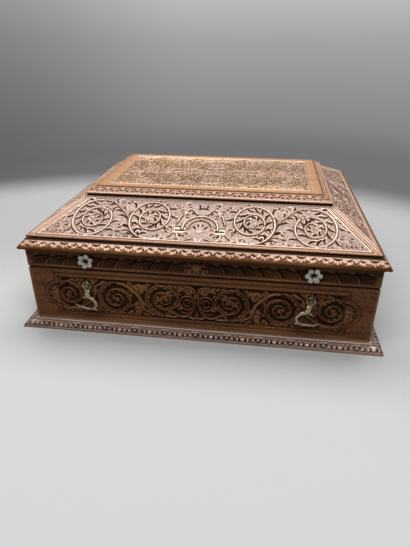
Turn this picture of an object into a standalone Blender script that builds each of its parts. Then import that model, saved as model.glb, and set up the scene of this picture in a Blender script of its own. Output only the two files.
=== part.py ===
# Carved wooden wedding box: plinth, case, hipped lid, butt hinges and two hook latches.
# Metres, +Z up, front towards -Y, origin at the middle of the underside.
import math

import bmesh
import bpy
from mathutils import Matrix, Vector

MM = 0.001

# Clearances
GAP = 0.3 * MM              # between pieces that lie against each other
RUN = 0.2 * MM              # round a pin or a screw in its hole

# Plinth
PLINTH_WIDTH = 370 * MM
PLINTH_DEPTH = 322 * MM
PLINTH_HEIGHT = 8 * MM
PLINTH_OVERHANG = 12 * MM   # beyond the face of the case
PLINTH_FILLET = 3 * MM      # flat strip next to the case
PLINTH_GROOVE = 1 * MM      # width and depth of the groove beside it
PLINTH_EDGE = 1.6 * MM      # upright edge at the bottom

# Case walls with sunk panels
WALL = 12 * MM
WALL_HEIGHT = 58.7 * MM
WALL_CHAMFER = 0.6 * MM
PANEL_END = 28.5 * MM       # plain wood between a corner and the panel's shoulder
PANEL_TOP = 9 * MM
PANEL_BOTTOM = 7 * MM
PANEL_DEPTH = 2 * MM
PANEL_BEVEL = 2 * MM
LOBE_RADIUS = 12.5 * MM     # round lobe at each end of a panel
LOBE_STEPS = 10

# Lid rim and cornice
RIM_HEIGHT = 18 * MM
RIM_CHAMFER = 1.3 * MM
CORNICE_HEIGHT = 11.7 * MM
CORNICE_REACH = 5.7 * MM    # nose beyond the rim
CORNICE_LIP = 0.3 * MM      # rise of the soffit towards the nose
NOSE_WIDTH = 2.3 * MM
NOSE_HEIGHT = 2.7 * MM
NOSE_TURN = math.radians(50)
CORNICE_SET_IN = 1.2 * MM   # top of the carved face behind the rim's face
CORNICE_TOP_FILLET = 0.5 * MM

# Sloping boards of the lid
SLOPE_SET_IN = 2 * MM       # foot behind the rim's face
SLOPE_EDGE = 2.2 * MM
SLOPE_RISE = 23.5 * MM
SLOPE_THICKNESS = 9 * MM
HIP_BORDER = 7 * MM
FOOT_BORDER = 6 * MM
HEAD_BORDER = 4 * MM
SLOPE_SINK = 1.2 * MM

# Flat top: moulding round two boards
TOP_WIDTH = 260.5 * MM
TOP_DEPTH = 167.5 * MM
TOP_EDGE = 4.2 * MM
TOP_RISE = 3.9 * MM
TOP_MOULDING = 10.7 * MM
TOP_OVERHANG = 1 * MM       # over the heads of the sloping boards
TOP_BAND = 11.5 * MM
TOP_SINK = 1 * MM
TOP_JOINT = -18 * MM        # glue line between the two boards, from the middle
TOP_ROWS = 0.5              # middle of a row of scrolls, as a share of the field's half depth
TOP_RING_RADIUS = 17 * MM   # ring between the scrolls of a row

# Raised scrollwork in the sunk fields
SCROLL_AT = (0.364, 0.777)  # middles of a pair of scrolls, as shares of the field's half length
SCROLL_ACROSS = 0.152       # half width of a scroll, the same way
SCROLL_CLEAR = 1 * MM       # between a scroll and the edge of its field
SCROLL_TURNS = 1.5
SCROLL_STEPS = 12
SCROLL_EYE = 0.2            # reach of a scroll's inner end, as a share of its first reach
SCROLL_FROM = math.radians(40)    # start of the inner scroll and of the branch, from its lowest point
STEM_STEPS = 4
RIB_FOOT = 3.2 * MM         # width of the raised lines at the ground
RIB_CREST = 1.6 * MM
RIB_DROP = 0.2 * MM         # crest below the face of the board
RIB_ROOT = 0.4 * MM         # foot below the ground of the field
BRANCH_DROP = 0.1 * MM      # crest of a branch below the line that it leaves
ARCH_RADIUS = 15 * MM
ARCH_UP = 18 * MM           # middle of the arch above the foot of the field
ARCH_STEPS = 8

# Pegs in the foot of the front slope
PEG_SET_IN = 51 * MM        # from the end of the case
PEG_UP = 3.2 * MM
PEG_RADIUS = 1.3 * MM
PEG_LENGTH = 1.9 * MM
PEG_PROUD = 0.5 * MM

# Hook latches
LATCH_SET_IN = 62 * MM      # from the end of the case to each latch
PIVOT_DROP = 15 * MM        # pivot below the top of the wall
PIVOT_RADIUS = 1.2 * MM
PIVOT_FOOT_RADIUS = 2.2 * MM
PIVOT_ROOT = 7 * MM         # shank in the wood
PIVOT_DOME_RADIUS = 2.5 * MM
PIVOT_DOME_HEIGHT = 1.3 * MM
PIVOT_WAIST = 0.7           # waist of the foot, as a share of its radius
STUD_RADIUS = 1.4 * MM
STUD_ROOT = 8 * MM
STUD_END = 0.8 * MM         # stud beyond the face of a closed hook
ROSETTE_MARGIN = 0.4 * MM   # rim left above and below a rosette
ROSETTE_THICKNESS = 2.3 * MM
ROSETTE_HOLE = 2.3 * MM
PETALS = 6
PETAL_OVERLAP = 1.04
PETAL_SHOULDER = 0.94       # share of the outline where the edge rounds over
PETAL_CROWN = 0.8
ROSETTE_DISH = 0.8          # thickness left beside the hole, as a share
HOOK_AIR = 0.5 * MM         # between a closed hook and the rosette
HOOK_SLACK = 0.8 * MM       # between the stud and the hook's arm
HOOK_HANG = math.radians(6)
HEAD_RADIUS = 4.2 * MM
HEAD_THICKNESS = 2.4 * MM
STEM_RADIUS = 1.7 * MM
COLLAR_RADIUS = 2.7 * MM
NECK_RADIUS = 1.4 * MM
ARM_RADIUS = 1.1 * MM
TIP_RADIUS = 0.6 * MM
ARM_FROM = math.radians(-10)
ARM_TO = math.radians(27)
COLLAR_STEP = 1.5 * MM      # from the neck to the collar and on to the neck below it
NECK_LENGTH = 2.3 * MM      # below the collar
HOOK_BACK = ((0.49, -12), (0.62, -23), (0.77, -26), (0.91, -23))   # share of the reach, degrees
HOOK_LEAF = ((0.45, -6), (0.53, 13), (0.60, 20))                   # the same, for the leaf in the throat
SPUR_LENGTH = 2.2 * MM
SPUR_FROM = math.radians(-14)
SPUR_TO = math.radians(-21)

# Butt hinges
HINGE_SET_IN = 68 * MM      # from the end of the case to the middle of a hinge
LEAF_LENGTH = 45 * MM
LEAF_THICKNESS = 1.2 * MM
LEAF_SET_IN = 3 * MM        # wood left in front of a leaf
KNUCKLE_RADIUS = 2.4 * MM
KNUCKLES = 5
HINGE_PIN_RADIUS = 1 * MM
HINGE_PIN_TIP = 0.9 * MM
PIN_ROUNDING = 0.7          # end of a pin's tip, as a share of its radius
SCREW_LENGTH = 8 * MM
SCREW_RADIUS = 0.9 * MM
SCREW_HEAD_RADIUS = 1.9 * MM
SCREW_HEAD_HEIGHT = 1 * MM
SCREW_SUNK = 0.1 * MM
SCREW_SPACING = 0.3          # from the middle of a leaf, as a share of its length

ROUND_STEPS = 16
SHARP = math.radians(35)    # edges steeper than this stay sharp

# Heights and half sizes that follow
HALF_WIDTH = PLINTH_WIDTH / 2 - PLINTH_OVERHANG
HALF_DEPTH = PLINTH_DEPTH / 2 - PLINTH_OVERHANG
WALL_BASE = PLINTH_HEIGHT + GAP
WALL_TOP = WALL_BASE + WALL_HEIGHT
RIM_BASE = WALL_TOP + GAP
RIM_TOP = RIM_BASE + RIM_HEIGHT
CORNICE_BASE = RIM_TOP + GAP
SLOPE_BASE = CORNICE_BASE + CORNICE_HEIGHT + GAP
TOP_BASE = SLOPE_BASE + SLOPE_EDGE + SLOPE_RISE + GAP
HINGE_SPREAD = HALF_WIDTH - HINGE_SET_IN
LATCH_SPREAD = HALF_WIDTH - LATCH_SET_IN
PEG_SPREAD = HALF_WIDTH - PEG_SET_IN
HINGE_Y = HALF_DEPTH + GAP + KNUCKLE_RADIUS
HINGE_Z = (WALL_TOP + RIM_BASE) / 2
PIVOT_Z = WALL_TOP - PIVOT_DROP
STUD_Z = RIM_BASE + RIM_HEIGHT / 2
HOOK_OUT = GAP + ROSETTE_THICKNESS + HOOK_AIR + STEM_RADIUS
ARM_REACH = STUD_Z - PIVOT_Z + STUD_RADIUS + HOOK_SLACK + ARM_RADIUS

# name, turn about Z, half length along the side, half span across to the side
SIDES = (
    ("front", 0, HALF_WIDTH, HALF_DEPTH),
    ("right", 90, HALF_DEPTH, HALF_WIDTH),
    ("back", 180, HALF_WIDTH, HALF_DEPTH),
    ("left", 270, HALF_DEPTH, HALF_WIDTH),
)
HANDS = (("left", -1), ("right", 1))
FACING_FRONT = math.radians(90)   # turns local +Z to -Y, out of the front


def clear_scene():
    for item in list(bpy.data.objects):
        bpy.data.objects.remove(item, do_unlink=True)


def finish(name, color, roughness, metallic=0.0):
    material = bpy.data.materials.new(name)
    material.use_nodes = True
    shader = material.node_tree.nodes["Principled BSDF"]
    shader.inputs["Base Color"].default_value = (*color, 1.0)
    shader.inputs["Roughness"].default_value = roughness
    shader.inputs["Metallic"].default_value = metallic
    return material


def add_piece(
    name, shape, material=None, location=(0, 0, 0), rotation=(0, 0, 0), parent=None, smooth=False,
):
    bmesh.ops.recalc_face_normals(shape, faces=shape.faces)
    mesh = bpy.data.meshes.new(name)
    shape.to_mesh(mesh)
    shape.free()
    if smooth:
        mesh.shade_smooth()
        mesh.set_sharp_from_angle(angle=SHARP)
    piece = bpy.data.objects.new(name, mesh)
    bpy.context.collection.objects.link(piece)
    piece.location = location
    piece.rotation_euler = rotation
    if material:
        mesh.materials.append(material)
    if parent:
        piece.parent = parent
        piece.matrix_parent_inverse = Matrix.Translation(-parent.location)
    return piece


def combine(piece, others, operation):
    # Booleans in turn, applied, and the other shapes taken away again
    for other in others:
        other.hide_render = True
        other.display_type = "WIRE"
        modifier = piece.modifiers.new(other.name, "BOOLEAN")
        modifier.operation = operation
        modifier.solver = "EXACT"
        modifier.object = other
    graph = bpy.context.evaluated_depsgraph_get()
    graph.update()
    result = bpy.data.meshes.new_from_object(piece.evaluated_get(graph))
    piece.modifiers.clear()
    piece.data = result
    for other in others:
        bpy.data.objects.remove(other, do_unlink=True)


def loft(rings, closed=False):
    # Skin over rings of equal length, capped at both ends or joined into a loop
    shape = bmesh.new()
    loops = [[shape.verts.new(point) for point in ring] for ring in rings]
    pairs = list(zip(loops, loops[1:]))
    if closed:
        pairs.append((loops[-1], loops[0]))
    else:
        shape.faces.new(loops[0])
        shape.faces.new(loops[-1])
    for low, high in pairs:
        for i in range(len(low)):
            j = (i + 1) % len(low)
            shape.faces.new((low[i], low[j], high[j], high[i]))
    return shape


def turned(profile, place=Matrix()):
    # Solid of revolution about Z from (radius, height) points, both ends on the axis
    shape = bmesh.new()
    points = [shape.verts.new((radius, 0, height)) for radius, height in profile]
    edges = [shape.edges.new(pair) for pair in zip(points, points[1:])]
    bmesh.ops.spin(
        shape, geom=points + edges, cent=(0, 0, 0), axis=(0, 0, 1), angle=math.tau, steps=ROUND_STEPS,
        use_merge=True,
    )
    bmesh.ops.remove_doubles(shape, verts=shape.verts, dist=GAP / 1000)
    bmesh.ops.transform(shape, matrix=place, verts=shape.verts)
    return shape


def box(low, high):
    corners = ((low[0], low[1]), (high[0], low[1]), (high[0], high[1]), (low[0], high[1]))
    return loft([[(x, y, z) for x, y in corners] for z in (low[2], high[2])])


def rail(profile, half_length, half_span):
    # Straight member along X with mitred ends; profile points are (outwards, height)
    trim = GAP / math.sqrt(2)
    rings = []
    for end in (-1, 1):
        rings.append([(end * (half_length + out - trim), -half_span - out, up) for out, up in profile])
    return loft(rings)


def arc(center, width, height, start, end, steps):
    points = []
    for i in range(steps + 1):
        angle = start + (end - start) * i / steps
        points.append((center[0] + width * math.cos(angle), center[1] + height * math.sin(angle)))
    return points


def mitred_frame(name_pattern, profile, base, material, parent=None, sides=SIDES):
    pieces = {}
    for side, turn, half_length, half_span in sides:
        pieces[side] = add_piece(
            name_pattern.format(side), rail(profile, half_length, half_span), material,
            location=(0, 0, base), rotation=(0, 0, math.radians(turn)), parent=parent,
        )
    return pieces


def plinth_profile():
    shoulder = PLINTH_FILLET + PLINTH_GROOVE
    rise = PLINTH_HEIGHT - PLINTH_EDGE - PLINTH_GROOVE / 2
    face = arc((shoulder, PLINTH_EDGE), PLINTH_OVERHANG - shoulder, rise, 0, math.pi / 2, 5)
    groove = PLINTH_HEIGHT - PLINTH_GROOVE
    return (
        [(-WALL, 0), (PLINTH_OVERHANG, 0)] + face
        + [(shoulder, groove), (PLINTH_FILLET, groove), (PLINTH_FILLET, PLINTH_HEIGHT)]
        + [(-WALL, PLINTH_HEIGHT)]
    )


def wall_profile():
    return [
        (-WALL, 0), (0, 0), (0, WALL_HEIGHT - WALL_CHAMFER), (-WALL_CHAMFER, WALL_HEIGHT),
        (-WALL, WALL_HEIGHT),
    ]


def rim_profile():
    return [(-WALL, 0), (-RIM_CHAMFER, 0), (0, RIM_CHAMFER), (0, RIM_HEIGHT), (-WALL, RIM_HEIGHT)]


def cornice_profile():
    center = (CORNICE_REACH - NOSE_WIDTH, CORNICE_LIP + NOSE_HEIGHT)
    nose = arc(center, NOSE_WIDTH, NOSE_HEIGHT, -math.pi / 2, NOSE_TURN, 7)
    return (
        [(-WALL, 0), (0, 0)] + nose
        + [(-CORNICE_SET_IN, CORNICE_HEIGHT - CORNICE_TOP_FILLET), (-CORNICE_SET_IN, CORNICE_HEIGHT),
           (-WALL, CORNICE_HEIGHT)]
    )


def top_moulding_profile():
    inner = -TOP_MOULDING + GAP
    return [(inner, 0), (0, 0), (0, TOP_EDGE), (inner, TOP_EDGE + TOP_RISE)]


def lobed_outline(half_length, low, high, grow):
    # Long panel with a round lobe at each end, all edges moved outwards by grow
    middle = (low + high) / 2
    radius = LOBE_RADIUS + grow
    turn = math.acos(grow / radius)
    right = arc((half_length, middle), radius, radius, turn, -turn, LOBE_STEPS)
    right = [(half_length + grow, high + grow)] + right + [(half_length + grow, low - grow)]
    return right + [(-x, z) for x, z in reversed(right)]


def panel_cutter(half_length, half_span):
    proud = PANEL_DEPTH / 4
    rings = []
    for out, grow in ((-PANEL_DEPTH, 0), (proud, PANEL_BEVEL * (1 + proud / PANEL_DEPTH))):
        outline = lobed_outline(half_length - PANEL_END, PANEL_BOTTOM, WALL_HEIGHT - PANEL_TOP, grow)
        rings.append([(x, -half_span - out, z) for x, z in outline])
    return loft(rings)


def slope_sizes(side):
    # Half length and half span at the foot and at the head of one sloping board
    along, across = (TOP_WIDTH, TOP_DEPTH) if side in ("front", "back") else (TOP_DEPTH, TOP_WIDTH)
    half_length, half_span = next((length, span) for name, turn, length, span in SIDES if name == side)
    foot = (half_length - SLOPE_SET_IN, half_span - SLOPE_SET_IN)
    head = (along / 2 - TOP_OVERHANG, across / 2 - TOP_OVERHANG)
    return foot, head


def slope_board(side):
    (foot_length, foot_span), (head_length, head_span) = slope_sizes(side)
    run = foot_span - head_span
    pitch = math.atan2(SLOPE_RISE, run)
    top = SLOPE_EDGE + SLOPE_RISE
    inner_head = head_span - SLOPE_THICKNESS / math.sin(pitch)
    inner_foot = inner_head + top * run / SLOPE_RISE
    section = [(foot_span, 0), (foot_span, SLOPE_EDGE), (head_span, top)]
    section += [(inner_head, top), (inner_foot, 0)]
    lean = (foot_length - head_length) / run
    trim = GAP / 2 * math.hypot(1, lean)
    rings = []
    for end in (-1, 1):
        ring = []
        for span, up in section:
            ring.append((end * (foot_length + (span - foot_span) * lean - trim), -span, up))
        rings.append(ring)
    return loft(rings)


def slope_place(side):
    # Local frame on the sloping face: X along the foot, Y up the slope, Z out of the wood
    foot, head = slope_sizes(side)
    foot_span = foot[1]
    pitch = math.atan2(SLOPE_RISE, foot_span - head[1])
    return Matrix.Translation((0, -foot_span, SLOPE_EDGE)) @ Matrix.Rotation(pitch, 4, "X")


def slope_field(side):
    # Heights of the field's foot and head up the slope, and its half length at each
    (foot_length, foot_span), (head_length, head_span) = slope_sizes(side)
    length = math.hypot(foot_span - head_span, SLOPE_RISE)
    lean = (foot_length - head_length) / length
    border = HIP_BORDER * math.hypot(1, lean)
    low = FOOT_BORDER
    high = length - HEAD_BORDER
    return low, high, foot_length - low * lean - border, foot_length - high * lean - border


def slope_cutter(side):
    low, high, half_low, half_high = slope_field(side)
    outline = [(-half_low, low), (half_low, low), (half_high, high), (-half_high, high)]
    place = slope_place(side)
    return loft([[place @ Vector((x, y, out)) for x, y in outline] for out in (-SLOPE_SINK, SLOPE_SINK)])


def spiral(center, across, rise, start, hand):
    points = []
    for i in range(SCROLL_STEPS + 1):
        share = i / SCROLL_STEPS
        reach = 1 - (1 - SCROLL_EYE) * share
        angle = start + hand * math.tau * SCROLL_TURNS * share
        points.append(Vector((
            center[0] + across * reach * math.cos(angle), center[1] + rise * reach * math.sin(angle),
        )))
    return points


def scroll_pair(half_length, middle, rise):
    # Right-hand pair: a scroll that opens at its foot, and a branch that swings over into the next one
    across = half_length * SCROLL_ACROSS
    inner, outer = (half_length * share for share in SCROLL_AT)
    lowest = -math.pi / 2
    first = spiral((inner, middle), across, rise, lowest - SCROLL_FROM, 1)
    second = spiral((outer, middle), across, rise, math.pi / 2, -1)
    turn = lowest + SCROLL_FROM
    start = Vector((inner + across * math.cos(turn), middle + rise * math.sin(turn)))
    bend = Vector(((outer - inner) / 2, 0))
    knots = (start, start + bend / 2, second[0] - bend, second[0])
    stem = []
    for i in range(STEM_STEPS):
        t = i / STEM_STEPS
        shares = ((1 - t) ** 3, 3 * t * (1 - t) ** 2, 3 * t ** 2 * (1 - t), t ** 3)
        stem.append(sum((share * knot for share, knot in zip(shares, knots)), Vector((0, 0))))
    return first, stem + second


def rib(path, place, sink, drop=RIB_DROP, closed=False):
    # Raised line along flat points in a local frame, wider at its foot than at its crest
    section = (
        (-RIB_FOOT / 2, -sink - RIB_ROOT), (RIB_FOOT / 2, -sink - RIB_ROOT),
        (RIB_CREST / 2, -drop), (-RIB_CREST / 2, -drop),
    )
    last = len(path) - 1
    rings = []
    for i, spot in enumerate(path):
        before = path[i - 1] if closed or i else spot
        after = path[(i + 1) % len(path)] if closed or i < last else spot
        along = (after - before).normalized()
        ring = []
        for off, up in section:
            ring.append(place @ Vector((spot.x - along.y * off, spot.y + along.x * off, up)))
        rings.append(ring)
    return loft(rings, closed)


def scroll_ribs(half_length, middle, rise, place, sink, flips):
    ribs = []
    for flip_x, flip_y in flips:
        flip = place @ Matrix.Diagonal((flip_x, flip_y, 1, 1))
        line, branch = scroll_pair(half_length, middle, rise)
        ribs.append(rib(line, flip, sink))
        ribs.append(rib(branch, flip, sink, RIB_DROP + BRANCH_DROP))
    return ribs


def slope_ribs(side):
    low, high, half_low, half_high = slope_field(side)
    rise = (high - low - RIB_FOOT) / 2 - SCROLL_CLEAR
    place = slope_place(side)
    flips = [(flip, 1) for name, flip in HANDS]
    ribs = scroll_ribs((half_low + half_high) / 2, (low + high) / 2, rise, place, SLOPE_SINK, flips)
    arch_line = arc((0, low + ARCH_UP), ARCH_RADIUS, ARCH_RADIUS, 0, math.pi, ARCH_STEPS)
    return ribs + [rib([Vector(point) for point in arch_line], place, SLOPE_SINK)]


def top_ribs(field_width, field_depth, height):
    place = Matrix.Translation((0, 0, height))
    middle = field_depth * TOP_ROWS
    rise = field_width * SCROLL_ACROSS
    flips = [(x, y) for hand, x in HANDS for row, y in HANDS]
    ribs = scroll_ribs(field_width, middle, rise, place, TOP_SINK, flips)
    for row, way in HANDS:
        ring = arc((0, way * middle), TOP_RING_RADIUS, TOP_RING_RADIUS, 0, math.tau, ROUND_STEPS)[:-1]
        ribs.append(rib([Vector(point) for point in ring], place, TOP_SINK, closed=True))
    return ribs


def hook_rod(points, side, sides=10):
    # Tapering rod through (radius from the pivot, angle from straight down, thickness) points
    path = []
    for i in range(len(points) - 1):
        before = points[max(i - 1, 0)]
        start, end = points[i], points[i + 1]
        after = points[min(i + 2, len(points) - 1)]
        for step in range(3):
            t = step / 3
            place = []
            for a, b, c, d in zip(before, start, end, after):
                bend = (2 * a - 5 * b + 4 * c - d) / 2 + t * (3 * b - a - 3 * c + d) / 2
                place.append(b + t * ((c - a) / 2 + t * bend))
            path.append(place)
    path.append(points[-1])
    places = [Vector((side * r * math.sin(angle), -r * math.cos(angle), 0)) for r, angle, thick in path]
    rings = []
    for i, place in enumerate(places):
        along = (places[min(i + 1, len(places) - 1)] - places[max(i - 1, 0)]).normalized()
        across = Vector((-along.y, along.x, 0))
        thick = path[i][2]
        ring = []
        for k in range(sides):
            angle = math.tau * k / sides
            ring.append(place + thick * (math.cos(angle) * across + Vector((0, 0, math.sin(angle)))))
        rings.append(ring)
    return loft(rings)


def hook_stem_points():
    # Down the baluster neck, round the back of the hook and along the arm that takes the stud
    collar = HEAD_RADIUS + NECK_RADIUS + COLLAR_STEP / 2
    below = collar + COLLAR_STEP
    points = [(HEAD_RADIUS - NECK_RADIUS / 2, 0, NECK_RADIUS)]
    for radius, lean, thick in (
        (collar - COLLAR_STEP, -1, NECK_RADIUS), (collar, -2, COLLAR_RADIUS), (below, -3, NECK_RADIUS),
        (below + NECK_LENGTH, -5, NECK_RADIUS),
    ):
        points.append((radius, math.radians(lean), thick))
    thicknesses = [STEM_RADIUS] * 2 + [(STEM_RADIUS + ARM_RADIUS) / 2] * 2
    for (share, lean), thick in zip(HOOK_BACK, thicknesses):
        points.append((ARM_REACH * share, math.radians(lean), thick))
    arm_steps = 5
    for i in range(arm_steps + 1):
        share = i / arm_steps
        angle = ARM_FROM + (ARM_TO - ARM_FROM) * share
        points.append((ARM_REACH, angle, ARM_RADIUS + (TIP_RADIUS - ARM_RADIUS) * share ** 3))
    return points


def add_hook(hand, side, material):
    place = {
        "location": (side * LATCH_SPREAD, -HALF_DEPTH - HOOK_OUT, PIVOT_Z),
        "rotation": (FACING_FRONT, HOOK_HANG, 0),
    }
    bore = PIVOT_RADIUS + RUN
    half = HEAD_THICKNESS / 2
    bevel = half / 3
    section = (
        (bore, -half), (HEAD_RADIUS - bevel, -half), (HEAD_RADIUS, -half + bevel),
        (HEAD_RADIUS, half - bevel), (HEAD_RADIUS - bevel, half), (bore + bevel, half - bevel),
        (bore, half - 2 * bevel),
    )
    steps = ROUND_STEPS + 4
    rings = []
    for k in range(steps):
        angle = math.tau * (k + 0.5) / steps
        rings.append([(r * math.cos(angle), r * math.sin(angle), up) for r, up in section])
    hook = add_piece(f"{hand}_hook", loft(rings, closed=True), material, smooth=True, **place)
    leaf = []
    for (share, lean), thick in zip(HOOK_LEAF, (NECK_RADIUS, ARM_RADIUS, TIP_RADIUS)):
        leaf.append((ARM_REACH * share, math.radians(lean), thick))
    spur_end = (ARM_RADIUS + TIP_RADIUS) / 2
    spur = [(ARM_REACH, SPUR_FROM, ARM_RADIUS), (ARM_REACH + SPUR_LENGTH, SPUR_TO, spur_end)]
    rods = []
    for name, points in (("stem", hook_stem_points()), ("leaf", leaf), ("spur", spur)):
        rods.append(add_piece(f"{hand}_{name}", hook_rod(points, side), material, smooth=True, **place))
    combine(hook, rods, "UNION")
    hook.data.set_sharp_from_angle(angle=SHARP)
    return hook


def pivot_profile():
    # Radius and distance out from the front face
    seat = HOOK_OUT - HEAD_THICKNESS / 2 - GAP
    head = HOOK_OUT + HEAD_THICKNESS / 2 + GAP
    foot = -PANEL_DEPTH + GAP
    dome = arc((0, head), PIVOT_DOME_RADIUS, PIVOT_DOME_HEIGHT, 0, math.pi / 2, 4)[:-1]
    root = -PANEL_DEPTH - PIVOT_ROOT
    return (
        [(0, root), (PIVOT_RADIUS, root), (PIVOT_RADIUS, foot), (PIVOT_FOOT_RADIUS, foot),
         (PIVOT_FOOT_RADIUS * PIVOT_WAIST, seat - PIVOT_RADIUS), (PIVOT_FOOT_RADIUS, seat),
         (PIVOT_RADIUS, seat), (PIVOT_RADIUS, head)]
        + dome + [(0, head + PIVOT_DOME_HEIGHT)]
    )


def stud_profile():
    end = HOOK_OUT + ARM_RADIUS + STUD_END
    round_end = arc((0, end - STUD_RADIUS / 2), STUD_RADIUS, STUD_RADIUS / 2, 0, math.pi / 2, 3)[:-1]
    return [(0, -STUD_ROOT), (STUD_RADIUS, -STUD_ROOT)] + round_end + [(0, end)]


def hole(radius, depth, proud, place):
    shape = turned([(0, -depth), (radius, -depth), (radius, proud), (0, proud)], place=place)
    return add_piece("hole", shape)


def rosette_shape():
    outer = RIM_HEIGHT / 2 - ROSETTE_MARGIN
    ring = outer / (1 + PETAL_OVERLAP / 2)
    petal = outer - ring
    steps = PETALS * 8
    edge = ROSETTE_THICKNESS / 4
    levels = ((1, 0), (1, 2 * edge), (PETAL_SHOULDER, 3 * edge), (PETAL_CROWN, 4 * edge))
    rings = []
    for k in range(steps):
        angle = math.tau * k / steps
        off = (angle + math.pi / PETALS) % (math.tau / PETALS) - math.pi / PETALS
        reach = ring * math.cos(off) + math.sqrt(petal ** 2 - (ring * math.sin(off)) ** 2)
        section = [(reach * scale, GAP + up) for scale, up in levels]
        section += [(ROSETTE_HOLE, GAP + ROSETTE_THICKNESS * ROSETTE_DISH), (ROSETTE_HOLE, GAP)]
        rings.append([(r * math.sin(angle), r * math.cos(angle), up) for r, up in section])
    return loft(rings, closed=True)


def add_latches(front_wall, front_rim, lid_axis, brass, pewter):
    out_of_front = Matrix.Rotation(FACING_FRONT, 4, "X")
    for hand, side in HANDS:
        low = (side * LATCH_SPREAD, -HALF_DEPTH, PIVOT_Z)
        high = (side * LATCH_SPREAD, -HALF_DEPTH, STUD_Z)
        facing = {"rotation": (FACING_FRONT, 0, 0), "smooth": True}
        on_lid = {"location": high, "parent": lid_axis, **facing}
        add_hook(hand, side, brass)
        add_piece(f"{hand}_hook_pivot", turned(pivot_profile()), brass, location=low, **facing)
        add_piece(f"{hand}_rosette", rosette_shape(), pewter, **on_lid)
        add_piece(f"{hand}_catch_stud", turned(stud_profile()), brass, **on_lid)
        for board, radius, depth, spot in (
            (front_wall, PIVOT_RADIUS, PANEL_DEPTH + PIVOT_ROOT, low),
            (front_rim, STUD_RADIUS, STUD_ROOT, high),
        ):
            bore = hole(radius + RUN, depth + GAP, GAP, Matrix.Translation(spot) @ out_of_front)
            combine(board, [bore], "DIFFERENCE")


def screw_profile(extra=0.0):
    # Countersunk screw pointing down, its slotted face at height zero
    tip = -SCREW_LENGTH - (GAP if extra else 0)
    head = SCREW_HEAD_RADIUS + extra
    shank = SCREW_RADIUS + extra
    cone = -SCREW_HEAD_HEIGHT
    points = [(0, tip), (shank, tip), (shank, cone), (head, 0)]
    if extra:
        points.append((head, LEAF_THICKNESS))
        return points + [(0, LEAF_THICKNESS)]
    return points + [(0, 0)]


def screw_places(up):
    # up is 1 for the case leaves, whose screws point down, and -1 for the lid leaves
    face = WALL_TOP - SCREW_SUNK if up > 0 else RIM_BASE + SCREW_SUNK
    middle = HALF_DEPTH - (WALL - LEAF_SET_IN) / 2
    flip = Matrix() if up > 0 else Matrix.Rotation(math.pi, 4, "X")
    places = {}
    for hand, side in HANDS:
        for end, way in (("outer", side), ("inner", -side)):
            spot = (side * HINGE_SPREAD + way * LEAF_LENGTH * SCREW_SPACING, middle, face)
            places[hand, end] = Matrix.Translation(spot) @ flip
    return places


def knuckle_outline(up):
    # Section of a knuckle and its strap, relative to the hinge axis
    near = GAP / 2
    far = near + LEAF_THICKNESS
    bite = KNUCKLE_RADIUS + GAP + LEAF_THICKNESS
    start = math.pi - math.asin(near / KNUCKLE_RADIUS)
    end = math.pi - math.asin(far / KNUCKLE_RADIUS) + math.tau
    around = arc((0, 0), KNUCKLE_RADIUS, KNUCKLE_RADIUS, start, end, ROUND_STEPS)
    outline = [(-bite, near)] + around + [(-bite, far)]
    return [(y, up * z) for y, z in outline]


def add_leaf(name, middle, up, own, material, parent=None):
    low = WALL_TOP - LEAF_THICKNESS if up < 0 else RIM_BASE
    front = HALF_DEPTH - (WALL - LEAF_SET_IN)
    half = LEAF_LENGTH / 2
    plate = box((middle - half, front, low), (middle + half, HALF_DEPTH, low + LEAF_THICKNESS))
    leaf = add_piece(name, plate, material, parent=parent)
    pitch = (LEAF_LENGTH + GAP) / KNUCKLES
    straps = []
    for i in own:
        start = middle - half + i * pitch
        ends = (start, start + pitch - GAP)
        rings = [[(x, HINGE_Y + y, HINGE_Z + z) for y, z in knuckle_outline(up)] for x in ends]
        straps.append(add_piece("strap", loft(rings)))
    combine(leaf, straps, "UNION")
    along = Matrix.Translation((middle, HINGE_Y, HINGE_Z)) @ Matrix.Rotation(math.pi / 2, 4, "Y")
    cuts = [hole(HINGE_PIN_RADIUS + RUN, LEAF_LENGTH, LEAF_LENGTH, along)]
    for place in screw_places(-up).values():
        cuts.append(add_piece("screw_hole", turned(screw_profile(RUN), place=place)))
    combine(leaf, cuts, "DIFFERENCE")
    leaf.data.shade_smooth()
    leaf.data.set_sharp_from_angle(angle=SHARP)


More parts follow.
